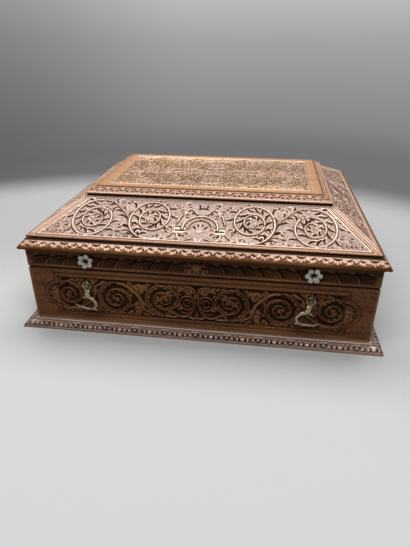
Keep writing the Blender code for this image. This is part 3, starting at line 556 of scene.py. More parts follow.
def covered(c, spot, reach):       # share of the ground near a spot that is already carved
    low = np.maximum(((spot - reach - c.low) / c.pitch).astype(int), 0)
    high = np.maximum(((spot + reach - c.low) / c.pitch).astype(int), low + 1)
    near = c.height[low[1]:high[1], low[0]:high[0]]
    return float((np.abs(near - c.ground) > 0.1).mean()) if near.size else 1.0


# small leaves that turn with the scrolls
def fillGaps(c, middles, low, high, size, seed, flips=((-1, 1), (1, 1))):
    rng = np.random.default_rng(seed)
    for v in np.arange(low[1], high[1], 0.8 * size):
        for x in np.arange(low[0], high[0], 0.8 * size):
            spot = np.array((x, v)) + rng.uniform(-0.25, 0.25, 2) * size
            if covered(c, spot, 0.5 * size) > 0.35:
                continue
            middle = min(middles, key=lambda one: math.dist(one, spot))
            around = math.atan2(spot[1] - middle[1], spot[0] - middle[0]) + 1.3
            start = spot - 0.5 * size * np.array([math.cos(around), math.sin(around)])
            for flipX, flipV in flips:
                c.put(0, 0, flipX, flipV)
                leaf(c, start, around, 1.25 * size, bend=0.8, lobes=2, spread=0.5)
    c.put()


def smooth(value, low, high):
    t = np.clip((value - low) / (high - low), 0, 1)
    return t * t * (3 - 2 * t)


def incised(distance, at, wide, depth):
    return -depth * np.exp(-((distance - at) / wide) ** 2)


def outward(points, quads, caps):       # the faces, turned to look outward
    points = points - points.mean(axis=0)
    a, b, c, d = points[quads].transpose(1, 0, 2)
    volume = np.sum(a * (np.cross(b, c) + np.cross(c, d)))
    for cap in caps:
        fan = points[cap]
        volume += np.sum(fan[0] * np.cross(fan[1:-1], fan[2:]))
    faces = quads.tolist() + caps
    return [face[::-1] for face in faces] if volume < 0 else faces


# a piece is one or more grids of points, each closed along its rows, and either a ring or capped at both ends
def addPiece(piece):
    points, faces = [], []
    for grid, ringed in piece["shells"]:
        rows, ring = grid.shape[:2]
        index = np.arange(rows * ring).reshape(rows, ring)
        after = np.roll(index, -1, axis=1)
        if ringed:
            corners = [index, np.roll(index, -1, axis=0), np.roll(after, -1, axis=0), after]
            caps = []
        else:
            corners = [index[:-1], index[1:], after[1:], after[:-1]]
            caps = [index[0].tolist(), index[-1][::-1].tolist()]
        flat = grid.reshape(-1, 3) * mm
        first = sum(len(part) for part in points)
        shell = outward(flat, np.stack(corners, axis=-1).reshape(-1, 4), caps)
        faces += [[first + corner for corner in face] for face in shell]
        points.append(flat)
    mesh = bpy.data.meshes.new(piece["name"])
    mesh.from_pydata(np.vstack(points).tolist(), [], faces)
    mesh.shade_smooth()
    mesh.set_sharp_from_angle(angle=math.radians(55))
    for key, value in piece["values"].items():
        vector = value.ndim == 3
        made = mesh.attributes.new(key, "FLOAT_VECTOR" if vector else "FLOAT", "POINT")
        made.data.foreach_set("vector" if vector else "value", value.ravel())
    made = bpy.data.objects.new(piece["name"], mesh)
    bpy.context.collection.objects.link(made)
    mesh.materials.append(looks[piece["look"]])
    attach(made, piece["body"])
    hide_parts(piece["node"])


# boards and mouldings: a face that carries the carving, swept along the side between its two mitres
def sweep(piece):
    face = np.asarray(piece["face"], float)
    back = np.asarray(piece["back"], float)
    way = np.gradient(face, axis=0)
    way /= np.linalg.norm(way, axis=1, keepdims=True)
    normal = np.column_stack([way[:, 1], -way[:, 0]])
    v = np.concatenate([[0], np.cumsum(np.linalg.norm(np.diff(face, axis=0), axis=1))])
    a, b = piece["columns"]
    a, b = a[:, None], b[:, None]
    half, lean = piece["half"] - piece["trim"], piece["lean"]
    x = a * (half + lean * face[:, 0]) + b
    height, ground, rubbedAndSheen, shade = piece["carve"](x, np.broadcast_to(v, x.shape))
    out = face[:, 0] + normal[:, 0] * height
    up = face[:, 1] + normal[:, 1] * height
    x = a * (half + lean * out) + b
    backX = a * (half + lean * back[:, 0]) + b
    allX = np.hstack([x, backX])
    allOut = np.hstack([out, np.broadcast_to(back[:, 0], backX.shape)])
    allUp = np.hstack([up, np.broadcast_to(back[:, 1], backX.shape)])
    turn = math.radians(piece["turn"])
    y = -piece["span"] - allOut
    points = np.dstack([
        allX * math.cos(turn) - y * math.sin(turn), allX * math.sin(turn) + y * math.cos(turn),
        allUp + piece["base"],
    ])
    pad = np.zeros(backX.shape)
    # depth darkens with the depth of a cut (grime and painted shade) and takes the painted shade each carving
    # returns; crest marks high places for the painted highlight
    start, full = piece["dark"]
    dark = np.clip(np.maximum((-height - start) / (full - start), shade), 0, 1)
    ends = np.exp(-np.minimum(v, v[-1] - v) / 0.7) + np.exp(-np.minimum(x - x[:1], x[-1:] - x) / 0.9)
    addPiece({**piece, "shells": [(points, False)], "values": {
        "grain": np.dstack([allX, allUp, allOut]) * mm + np.asarray(piece["grainAt"]),
        "depth": np.hstack([dark, pad + np.asarray(piece["backShade"])]),
        "ground": np.hstack([ground, pad]), "worn": np.hstack([np.clip(ends + rubbedAndSheen, 0, 1), pad]),
        "crest": np.hstack([smooth(height, -0.35, -0.05), pad]),
    }})


def repeats(half, period):       # places of a pattern that repeats along a side
    count = int(half / period) + 1
    return [k * period for k in range(-count, count + 1)]


def spread(half, border, fine, coarse=None):       # columns that run parallel to the mitres along a border
    edge = np.arange(0, border, coarse or fine)
    t = np.linspace(-1, 1, int(2 * (half - border) / fine) + 1)
    a = np.concatenate([np.full(len(edge), -1.0), t, np.full(len(edge), 1.0)])
    b = np.concatenate([edge, -t * border, -edge[::-1]])
    return a, b


def steps(start, end, pitch):
    count = max(int(math.dist(start, end) / pitch), 1) + 1
    return np.linspace(start, end, count)


def joined(*runs):
    return np.vstack([runs[0]] + [run[1:] for run in runs[1:]])


def arcPoints(center, wide, high, start, end, count):
    t = np.radians(np.linspace(start, end, count))
    return np.column_stack([center[0] + wide * np.cos(t), center[1] + high * np.sin(t)])


trim = solid["gap"] / math.sqrt(2)


def mitred(side, piece):        # a rail cut at 45 degrees to meet its neighbours
    name, turn, half, span = side
    place = {"turn": turn, "half": half, "span": span, "lean": 1.0, "trim": trim, "backShade": 0.0}
    place["grainAt"] = (0.31 * (turn // 90), 0.17 * (turn // 90), 0.01 * piece["base"])
    sweep({**place, **piece})


# case walls with a lobed panel
wall = {
    "end": 28.5, "top": 9.0, "bottom": 7.0, "lobe": 12.5, "chamfer": 1.0, "slope": 2.2, "ground": -2.0,
    "lines": ((-3.6, 0.6, 1.3), (-1.7, 0.5, 0.8)), "pitch": 0.66, "margin": 2.4, "dark": (0.5, 2.6),
    "halfPanel": 144.5, "coils": (35, 85, 135), "big": 18.5, "small": 16.5, "fan": (-0.75, 0.0, 0.75),
    "leaves": (       # coil, place beside it, direction, length, bend, lobes
        (0, (20, 14), -0.5, 18, 0.4, 3), (0, (24, -4), -1.25, 16, -0.4, 3), (1, (19, -15), 0.5, 18, -0.4, 3),
        (1, (24, 5), 1.2, 15, 0.3, 3), (1, (21, 17), -0.2, 12, 0.3, 2), (0, (-20, 15), 0.1, 12, 0.2, 2),
    ),
    "fillCoils": (10, 37, 84, 132), "filler": 6.5, "seed": 3,
}


def halfPanel(c, squeeze):
    coils = [x * squeeze for x in wall["coils"]]
    first, second, third = coils
    for coil, (x, v), angle, length, bend, lobes in wall["leaves"]:
        leaf(c, (coils[coil] + x, v), angle, length, bend=bend, lobes=lobes)
    stem(c, ((3, -19), (12, -16), (first - 12, -18), (first, -17.5)), (1.4, 1.7))
    rising = ((first, -17.5), (first + 19, -12), (first + 25, 3), (second - 12, 15), (second, 17.5))
    falling = ((second, 17.5), (second + 19, 12), (second + 24, -4), (third - 10, -15), (third, -16))
    stem(c, rising, (1.7, 1.7))
    stem(c, falling, (1.7, 1.6))
    scroll(c, (first, 0.5), wall["big"], -1.6, 1, crest=(7, 0.10, 0.80), lining=(12, 0.05, 1.0))
    scroll(c, (second, -0.5), wall["big"], 1.6, -1, crest=(7, 0.10, 0.80), lining=(12, 0.05, 1.0))
    scroll(c, (third, 0), wall["small"], -1.6, 1, crest=(6, 0.20, 0.75), lining=(11, 0.05, 1.0))
    for turn in wall["fan"]:
        leaf(c, (third + 12, 3.5 * turn), turn, 12, bend=0.2 * turn, lobes=3, spread=0.42)


def panelHeart(c):       # two C-scrolls back to back with leaves above
    for flip in (-1, 1):
        c.put(c.spot[0], c.spot[1], flipX=flip)
        stem(c, ((1.5, 12), (1.6, 2), (4, -9), (10, -16), (17, -17), (24, -13)), (1.3, 1.1))
        stem(c, ((3.6, 3), (4.6, -6), (10, -12.5), (16, -12)), (1.0, 0.8), -0.4)
        scroll(c, (9.5, -0.5), 8.4, 2.6, -1, turns=2.0, crest=(1, 0.1, 0.2), lining=(1, 0.1, 0.2), thick=1.9)
        stem(c, ((1.5, 12), (4, 17), (10, 19)), (1.2, 0.8))
        leaf(c, (5, 12), 0.4, 13, bend=0.5, lobes=3)
        leaf(c, (16, -8), 0.9, 9, bend=-0.6, lobes=2)
    c.put(c.spot[0], c.spot[1])
    leaf(c, (0, -19), math.pi / 2, 8, lobes=2, spread=0.4)


def wallCarving(half):
    middle = (wall["bottom"] + solid["wallHeight"] - wall["top"]) / 2
    c = Carving((-half - 20, 0), (half + 20, solid["wallHeight"]), ground=wall["ground"])
    squeeze = half / wall["halfPanel"]
    for flip in (-1, 1):
        c.put(0, middle, flipX=flip)
        halfPanel(c, squeeze)
    c.put(0, middle)
    panelHeart(c)
    centers = [(x * squeeze, middle) for x in wall["fillCoils"]]
    low = (6, wall["bottom"] + 3)
    high = (half + 10, solid["wallHeight"] - wall["top"] - 2)
    fillGaps(c, centers, low, high, wall["filler"], wall["seed"])
    return c.settle()


def panelInside(x, v, half):       # distance in from the edge of the lobed panel, below zero outside it
    low, high = wall["bottom"], solid["wallHeight"] - wall["top"]
    middle, rise = (low + high) / 2, (high - low) / 2
    across = np.minimum(half - np.abs(x), rise - np.abs(v - middle))
    rounded = wall["lobe"] - np.hypot(np.abs(x) - half, v - middle)
    return np.maximum(across, rounded)


def makeWalls():
    carvings = {}
    high = solid["wallHeight"]
    straight = high - wall["chamfer"]
    bevel = steps((0, straight), (-wall["chamfer"], high), 0.5)
    face = joined(steps((0, 0), (0, straight), wall["pitch"]), bevel)
    back = [(-solid["wall"], high), (-solid["wall"], 0)]
    for side in sides:
        half = side[2]
        inner = half - wall["end"]
        if inner not in carvings:
            carvings[inner] = wallCarving(inner)
        c = carvings[inner]

        def carve(x, v, inner=inner, c=c):
            inside = panelInside(x, v, inner)
            cut = c.at(x, v)
            height = np.maximum(cut, -wall["slope"] * np.maximum(inside, 0))
            plain = sum(incised(inside, *line) for line in wall["lines"])
            ground = (cut < c.ground + 0.3) & (inside > 1.4)
            # painted shade: a dark line just inside the panel's edge and on the top chamfer; raised carving
            # is marked for the painted sheen tone
            corner = 0.85 * np.exp(-((inside - 0.9) / 0.6) ** 2)
            shade = np.maximum(smooth(v, straight - 0.2, straight + 0.3), corner)
            rubbedAndSheen = 0.60 * smooth(height, -0.7, -0.1) * (inside > 1.5)
            return np.where(inside > 0, height, plain), ground.astype(float), rubbedAndSheen, shade

        mitred(side, {
            "name": f"{side[0]}CaseWall", "node": f"{side[0]}_wall", "body": "case", "slot": "case_wood",
            "look": "caseWood", "face": face, "back": back, "base": solid["wallBase"], "dark": wall["dark"],
            "columns": spread(half, wall["end"] - wall["lobe"] - 6, wall["pitch"], wall["margin"]),
            "carve": carve,
        })


makeWalls()
print("case walls carved")


# plinth moulding: pairs of leaves that meet at a bud
plinth = {
    "height": 8.0, "overhang": 12.0, "edge": 1.6, "shoulder": 4.9, "top": 6.1, "pitch": 0.60, "period": 32.0,
    "fillet": ((4.6, 5.7), (4.3, 5.75), (4.1, 6.3), (3.5, 6.9), (2.6, 7.5), (1.6, 7.9), (1.0, 8.0)),
    "ground": -0.7, "dark": (0.5, 1.4), "leaves": ((5.4, 4.6), (10.6, 4.0), (14.9, 3.6)),
    "eyes": ((7.9, 3.4), (13.2, 2.6)), "notches": (6.2, 11.4),
    "budSide": ((2.2, 7.4), (2.6, 5.0), (1.3, 2.8), (0, 2.2)),
    "upperLine": ((3, 9.6), (7, 9.0), (11, 9.2), (16, 9.8)),
}


def plinthCarving(half, length):
    c = Carving((-half - 14, -2), (half + 14, length + 2), ground=plinth["ground"], pitch=0.25)
    for middle in repeats(half, plinth["period"]):
        for flip in (-1, 1):
            c.put(middle, 0, flipX=flip)
            for x, v in plinth["leaves"]:
                lobe(c, (x, v + 2.2), -1.2, 5.0, 2.0, -0.4, 0.0)
                lobe(c, (x - 1.0, v + 4.6), -0.2, 5.5, 1.5, -0.5, 0.0)
            for x, v in plinth["eyes"]:
                comma(c, (x, v), 2.0, 4.2, 1.3, -0.9, -2.6)
            for x in plinth["notches"]:
                comma(c, (x, 8.2), 2.6, 3.6, 0.7, -0.6, -2.0)
            c.stroke(through(plinth["budSide"]), 0.7, -2.2, cut=True)
            c.stroke(through(plinth["upperLine"]), 0.45, -1.5, cut=True)
        c.put(middle, 0)
        c.stroke([(0, 4.6), (0, 5.8)], 1.7, 0.0)
        c.stroke([(0, 9.2), (0.01, 9.2)], 0.9, -1.8, cut=True)
    c.put()
    return c.settle(reach=0.8, deeper=0.6)


def makePlinth():
    rise = plinth["top"] - plinth["edge"]
    run = plinth["overhang"] - plinth["shoulder"]
    face = arcPoints((plinth["shoulder"], plinth["edge"]), run, rise, 0, 90, 18)
    length = np.linalg.norm(np.diff(face, axis=0), axis=1).sum()
    inner = -solid["wall"]
    back = [*plinth["fillet"], (inner, plinth["height"]), (inner, 0), (plinth["overhang"], 0)]
    for side in sides:
        half = side[2]
        c = plinthCarving(half + plinth["overhang"], length)

        def carve(x, v, c=c):
            height = np.minimum(c.at(x, v), 0) * smooth(v, 0.2, 1.0) * smooth(length - v, 0.2, 1.0)
            return height, np.zeros_like(height), 0.0, 0.0

        mitred(side, {
            "name": f"{side[0]}Plinth", "node": f"plinth_{side[0]}", "body": "case", "slot": "case_wood",
            "look": "plinthWood", "face": face, "back": back, "base": 0.0, "dark": plinth["dark"],
            "columns": spread(half + plinth["overhang"], 10, plinth["pitch"]), "carve": carve,
        })


makePlinth()
print("plinth carved")


# lid rim: scales that run outward from a small flower
rim = {
    "chamfer": 1.3, "pitch": 0.66, "scale": 18.0, "start": 10.0, "low": 2.6, "round": 3.6, "reach": 15.0,
    "high": 14.6, "wave": 12.8, "ground": -1.8, "end": 5.0, "dark": (0.15, 1.9),
}


def flower(c, center, radius, petals):
    for k in range(petals):
        lobe(c, center, tau * (k + 0.5) / petals, radius, 0.30 * radius, 0, -0.2)
    for k in range(petals):
        angle = tau * k / petals
        tip = np.array(center) + 0.55 * radius * np.array([math.cos(angle), math.sin(angle)])
        comma(c, tip, angle, 0.4 * radius, 0.5, 0, -2.2)
    c.stroke([center, (center[0] + 0.01, center[1])], 0.3 * radius, 0.0)
    c.stroke([center, (center[0] + 0.01, center[1])], 0.12 * radius, -1.2, cut=True)


def scales(x, v):        # overlapping scales with a thin raised edge, a leafy wave above them
    up = np.clip((v - rim["round"]) / (rim["high"] - rim["round"]), 0, 1)
    shift = rim["reach"] * (1 - np.sqrt(1 - up ** 2))
    part = ((np.abs(x) - rim["start"] + shift) / rim["scale"]) % 1.0
    after, before = part * rim["scale"], (1 - part) * rim["scale"]
    made = -1.45 - 0.8 * np.exp(-(after / 1.8) ** 2) + 1.45 * np.exp(-(before / 1.15) ** 2)
    made = made + 0.75 * np.exp(-((before - 4.6) / 0.8) ** 2) + 0.4 * np.exp(-((before - 8.6) / 0.8) ** 2)
    wave = rim["wave"] + 0.9 * np.sin(tau * (np.abs(x) - rim["start"]) / rim["scale"] + 1.0)
    buds = -0.9 * (0.5 + 0.5 * np.cos(2 * tau * (np.abs(x) + 0.8 * v) / rim["scale"])) ** 2
    made = np.where(v > wave, -0.3 + 1.3 * buds, made)
    return made - 1.6 * np.exp(-((v - wave) / 0.7) ** 2)


def makeRim():
    high = solid["rimHeight"]
    bevel = rim["chamfer"] * math.sqrt(2)
    edge = steps((-rim["chamfer"], 0), (0, rim["chamfer"]), 0.5)
    face = joined(edge, steps((0, rim["chamfer"]), (0, high), rim["pitch"]))
    back = [(-solid["wall"], high), (-solid["wall"], 0)]
    c = Carving((-16, 0), (16, high), ground=rim["ground"])
    flower(c, (0, high / 2 + 0.2), 7.4, 8)
    for flip in (-1, 1):
        c.put(0, 0, flipX=flip)
        leaf(c, (6, 4.5), 0.2, 9, bend=0.5, lobes=2)
        leaf(c, (6, 13), -0.1, 8, bend=-0.5, lobes=2)
    c.put()
    for side in sides:
        half = side[2]

        def carve(x, v, half=half):
            # painted shade on the lower chamfer, in the seam over the wall
            shade = 1 - smooth(v, 0.6 * bevel, bevel)
            v = v - bevel + rim["chamfer"]
            middle = np.abs(x) < rim["start"] + 2
            inside = np.minimum(np.minimum(v - rim["low"], high - 1.0 - v), half - rim["end"] - np.abs(x))
            cut = np.where(middle, c.at(x, v), scales(x, v))
            height = np.where(inside > 0, np.maximum(np.minimum(cut, 0), -1.3 * inside), 0)
            # painted shade over the leafy band under the cornice; raised carving is marked for the painted
            # sheen tone
            shade = np.maximum(shade, 0.55 * smooth(v, rim["wave"] - 1.0, rim["wave"]))
            return height, np.zeros_like(height), 0.8 * smooth(height, -0.9, -0.1) * (inside > 1), shade

        mitred(side, {
            "name": f"{side[0]}Rim", "node": f"rim_{side[0]}", "body": "lid", "slot": "lid_wood",
            "look": "caseWood", "face": face, "back": back, "base": solid["rimBase"], "dark": rim["dark"],
            "columns": spread(half, 6, rim["pitch"], 2.0), "carve": carve,
        })


makeRim()
print("rim carved")


# cornice: a round nose with a row of leaf tips above it
cornice = {
    "height": 11.7, "reach": 5.7, "lip": 1.8, "nose": (2.3, 2.1), "turn": 50, "setIn": 1.2, "fillet": 0.5,
    "pitch": 0.55, "period": 32.6, "dark": (0.5, 1.7), "backShade": (0.85, 0.0, 0.0, 0.85),
    "nicks": (       # points of a crescent, boldness
        (((12.8, 6.1), (10.4, 4.8), (8.4, 5.1)), 0.6), (((7.8, 2.5), (5.4, 2.2), (4.0, 3.6)), 0.5),
        (((14.0, 5.0), (14.7, 3.3), (16.2, 2.6)), 0.5),
    ),
    "tips": ((0, 1.5, 3.2, 5, 9, 12.5, 14.5, 16.3), (0.6, 1.4, 2.3, 1.2, 0.8, 1.4, 2.2, 1.2)),
}


def corniceCarving(half, length):
    c = Carving((-half - 10, -3), (half + 10, length + 1), ground=0.0, pitch=0.25)
    for middle in repeats(half, cornice["period"]):
        c.put(middle, 0)
        nick(c, ((-3.6, 6.5), (-1.6, 5.6), (1.6, 5.6), (3.6, 6.5)), 0.6)
        for flip in (-1, 1):
            c.put(middle, 0, flipX=flip)
            for points, bold in cornice["nicks"]:
                nick(c, points, bold)
            comma(c, (1.8, 1.0), 1.9, 2.2, 0.5, 0.4, -1.4)
            comma(c, (13.0, 1.0), 1.3, 1.8, 0.5, 0.4, -1.2)
    c.put()
    return c


def leafEdge(x):       # wavy lower edge of the leaf tips, in millimetres up the straight face
    part = np.abs((x / cornice["period"] + 0.5) % 1.0 - 0.5) * cornice["period"]
    return np.interp(part, *cornice["tips"])


def makeCornice():
    center = (cornice["reach"] - cornice["nose"][0], cornice["lip"] + cornice["nose"][1])
    nose = arcPoints(center, *cornice["nose"], -90, cornice["turn"], 12)
    noseLength = np.linalg.norm(np.diff(nose, axis=0), axis=1).sum()
    head = (-cornice["setIn"], cornice["height"] - cornice["fillet"])
    face = joined(nose, steps(nose[-1], head, cornice["pitch"]))
    length = math.dist(nose[-1], head)
    inner, high = -solid["wall"], cornice["height"]
    back = [(-cornice["setIn"], high), (inner, high), (inner, 0), (0, 0)]
    for side in sides:
        half = side[2]
        c = corniceCarving(half, length)

        def carve(x, v, c=c):
            up = v - noseLength
            edge = leafEdge(x)
            plain = 1.0 - smooth(up, edge - 0.5, edge + 0.4)
            inside = smooth(up, -1.0, 0.6) * smooth(length - up, 0.0, 0.6)
            height = np.minimum(c.at(x, up), 0) * inside - 0.35 * plain
            # painted shade at the top edge under the slope and over the plain nose, which also takes the dark
            # golden nose tone
            shade = np.maximum(smooth(up, length - 0.5, length - 0.1), 0.50 * plain)
            return height, np.zeros_like(height), plain, shade

        mitred(side, {
            "name": f"{side[0]}Cornice", "node": f"cornice_{side[0]}", "body": "lid", "slot": "lid_wood",
            "look": "corniceWood", "face": face, "back": back, "backShade": cornice["backShade"],
            "base": solid["corniceBase"], "dark": cornice["dark"],
            "columns": spread(half + cornice["reach"], 8, cornice["pitch"]), "carve": carve,
        })


makeCornice()
print("cornice carved")


# hipped slopes with scrollwork on a punched ground
slope = {
    "setIn": 2.0, "edge": 2.2, "rise": 23.5, "thick": 9.0, "hip": 7.0, "foot": 6.0, "head": 4.0,
    "pitch": 0.68, "topHalf": (129.25, 82.75), "lines": ((-2.0, 0.45, 1.1), (-4.4, 0.45, 0.9)),
    "wallSlope": 1.3, "ground": -0.6, "backShade": (0.0, 0.0, 0.9, 0.9, 0.9),
    "undercut": (3.0, 1.4), "dark": (0.5, 1.6), "shadow": 0.45,
    "longWork": {"size": 1.0, "wide": 1.0, "lift": 0.0, "arch": 1.0},
    "shortWork": {"size": 0.62, "wide": 1.2, "lift": 2.8, "arch": 0.84},
}


def slopeCarving(half, length, work):
    c = Carving((-half, -1), (half, length + 1), ground=slope["ground"], shadow=slope["shadow"])
    for flip in (-1, 1):
        c.put(0, work["lift"], flipX=flip * work["wide"], size=work["size"])
        halfRinceau(c)
        if work["size"] < 1:
            c.put(0, 0, flipX=flip)
            leaf(c, (106, 9.5), 0.0, 20, lobes=4, spread=0.26)
    c.put(0, work["lift"], size=work["arch"])
    archMedallion(c, work["size"] == 1)
    c.put()
    if work["size"] == 1:
        middles = [center for center, begin, hand in rinceau["coils"]]
        fillGaps(c, middles, rinceau["fillFrom"], rinceau["fillTo"], rinceau["filler"], rinceau["seed"])
    return c.settle(reach=0.9, deeper=0.4)


def makeSlopes():
    carvings = {}
    for name, turn, half, span in sides:
        long = turn % 180 == 0
        foot = (half - slope["setIn"], span - slope["setIn"])
        head = slope["topHalf"] if long else slope["topHalf"][::-1]
        run = foot[1] - head[1]
        length = math.hypot(run, slope["rise"])
        lean = (foot[0] - head[0]) / run
        hipLean = (foot[0] - head[0]) / length
        high = slope["edge"] + slope["rise"]
        inner = run + slope["thick"] / math.sin(math.atan2(slope["rise"], run))
        if long not in carvings:
            carvings[long] = slopeCarving(half, length, slope["longWork" if long else "shortWork"])
        c = carvings[long]

        def carve(x, v, c=c, foot=foot, length=length, hipLean=hipLean):
            hip = (foot[0] - hipLean * v - np.abs(x)) / math.hypot(1, hipLean) - slope["hip"]
            inside = np.minimum(np.minimum(v - slope["foot"], length - slope["head"] - v), hip)
            cut = c.at(x, v)
            height = np.maximum(cut, -slope["wallSlope"] * np.maximum(inside, 0))
            plain = sum(incised(inside, *line) for line in slope["lines"])
            ground = (cut < c.ground + 0.12) & (cut > c.ground - 0.9) & (inside > 0.6)
            # painted shade: a dark line below the head fillet, the shadow gap under the top moulding and the
            # shadow at the foot
            bead = 0.9 * np.exp(-((v - length + 3.4) / 0.45) ** 2)
            shade = np.maximum(smooth(v, length - 1.5, length - 0.8), bead)
            shade = np.maximum(shade, 1 - smooth(v, 0.9, 1.7))
            rubbedAndSheen = np.where(v < slope["foot"], 0.55, 0.20) * smooth(-inside, 0.4, 1.2)
            return np.where(inside > 0, height, plain), ground.astype(float), rubbedAndSheen, shade

        cutIn, cutUp = slope["undercut"]
        sweep({
            "name": f"{name}Slope", "node": f"slope_{name}", "body": "lid", "slot": "lid_wood",
            "look": "lidWood", "face": steps((0, slope["edge"]), (-run, high), slope["pitch"]),
            "back": [(-inner, high), (-inner + high * run / slope["rise"], 0), (-cutIn, 0), (-cutIn, cutUp),
                     (-0.2, cutUp + 0.2)],
            "base": solid["slopeBase"], "turn": turn, "half": foot[0], "span": foot[1], "lean": lean,
            "trim": solid["gap"] / 2 * math.hypot(1, lean), "columns": spread(foot[0], 9, slope["pitch"]),
            "carve": carve, "grainAt": (0.4 * turn / 90, 0.2, 0.7), "dark": slope["dark"],
            "backShade": slope["backShade"],
        })


makeSlopes()
print("slopes carved")


# flat top: a carved moulding round two boards
top = {
    "half": (130.25, 83.75), "edge": 4.2, "rise": 3.9, "moulding": 10.7, "band": 10.4, "joint": -18.0,
    "lip": 1.8, "undercut": 3.6, "pitch": 0.66, "period": 16.4, "bead": 1.9, "nose": 1.6, "ground": -0.9,
    "dark": (0.65, 1.9), "nicks": (       # points of a crescent, boldness
        (((1.0, 5.2), (2.6, 4.2), (4.4, 5.0)), 0.6), (((5.6, 6.6), (6.6, 5.0), (7.8, 4.6)), 0.55),
        (((2.2, 9.0), (4.0, 7.8), (6.0, 8.8)), 0.5),
    ),
    "leaves": (       # place, direction, length, bend, lobes, spread
        ((70, 4), 0.0, 20, 0.3, 4, 0.4), ((70, 57), -0.3, 16, 0.4, 3, 0.5),
        ((24, 57), 0.1, 15, -0.3, 3, 0.5), ((100, 56), -2.2, 14, 0.6, 3, 0.5),
        ((24, 8), 0.5, 16, -0.5, 3, 0.5), ((101, 8), 1.9, 14, -0.6, 3, 0.5),
    ),
    "branch": ((19, 20), (26, 10), (42, 5.5), (56, 9), (63, 26), (70, 46), (84, 56)),
    "inner": (42, 31), "outer": (86, 31), "middle": (0, 31), "coil": 25, "petals": 8,
    "filler": 9.0, "seed": 9,
}


def mouldingCarving(half, length):
    c = Carving((-half - 2, -2), (half + 2, length + 2), ground=0.0, pitch=0.25)
    for middle in repeats(half, top["period"]):
        for flip in (-1, 1):
            c.put(middle, 0, flipX=flip)
            for points, bold in top["nicks"]:
                nick(c, points, bold)
            comma(c, (0.9, 7.8), 1.2, 2.2, 0.5, 0.3, -1.5)
    c.put()
    return c


def makeTopMoulding():
    inner = -top["moulding"] + solid["gap"]
    nose, bend = top["nose"], np.linspace(0, 1.1, 5)
    turned = np.column_stack([nose * (np.cos(bend) - 1), nose * np.sin(bend) + top["lip"] + 0.3])
    face = joined(turned, steps(turned[-1], (inner, top["edge"] + top["rise"]), 0.6))
    length = np.linalg.norm(np.diff(face, axis=0), axis=1).sum()
    back = [(inner, 0), (-top["undercut"], 0), (-top["undercut"], top["lip"]), (-0.2, top["lip"])]
    for name, turn, *_ in sides:
        half, span = top["half"] if turn % 180 == 0 else top["half"][::-1]
        c = mouldingCarving(half, length)

        def carve(x, v, c=c):
            height = np.minimum(c.at(x, v), 0) * smooth(v, 1.8, 2.8) * smooth(length - v, 0.8, 1.8)
            carved = smooth(v, 1.6, 2.2)
            quirk = np.exp(-((length - v - 1.0) / 0.8) ** 2)
            shade = np.maximum(0.14 * carved, 0.95 * quirk)
            made = height + incised(v, 2.2, 0.35, 0.4) - 0.6 * quirk
            return made, np.zeros_like(height), 0.70 * carved, shade

        mitred((name, turn, half, span), {
            "name": f"{name}TopMoulding", "node": f"top_moulding_{name}", "body": "lid", "slot": "lid_wood",
            "look": "lidWood", "face": face, "back": back, "base": solid["topBase"], "dark": (0.4, 1.4),
            "columns": spread(half, 6, 0.65), "carve": carve,
        })


def topCarving(half):
    c = Carving((-half[0], -half[1]), half, ground=top["ground"])
    flips = [(x, v) for x in (-1, 1) for v in (-1, 1)]
    for flipX, flipV in flips:
        c.put(0, 0, flipX, flipV)
        for base, angle, length, bend, lobes, broad in top["leaves"]:
            leaf(c, base, angle, length, bend=bend, lobes=lobes, spread=broad)
        stem(c, top["branch"], (1.2, 1.1))
        scroll(c, top["inner"], top["coil"], -1.65, 1, narrow=0.80, crest=(6, 0.14, 0.8), thick=0.9)
        scroll(c, top["outer"], top["coil"], 1.7, -1, narrow=0.78, crest=(6, 0.0, 0.7), thick=0.9)
    angle = np.linspace(0, tau, 60)
    for up in (-top["middle"][1], top["middle"][1]):
        c.put(0, up)
        for radius, wide, height in ((18.5, 1.3, 0.0), (15.0, 0.9, -0.2)):
            ridge(c, np.column_stack([radius * np.cos(angle), radius * np.sin(angle)]), wide, height)
        for k in range(top["petals"]):
            leaf(c, (0, 0), tau * k / top["petals"], 14, lobes=2, spread=0.34)
        c.stroke([(0, 0), (0.01, 0)], 3.0, 0)
    c.put()
    for k in range(top["petals"]):
        leaf(c, (0, 0), tau * (k + 0.5) / top["petals"], 11, lobes=2, spread=0.36)
    middles = (top["inner"], top["outer"], top["middle"])
    fillGaps(c, middles, (4, 4), (half[0] - 3, half[1] - 3), top["filler"], top["seed"], flips)
    return c.settle(reach=0.9, deeper=1.3)


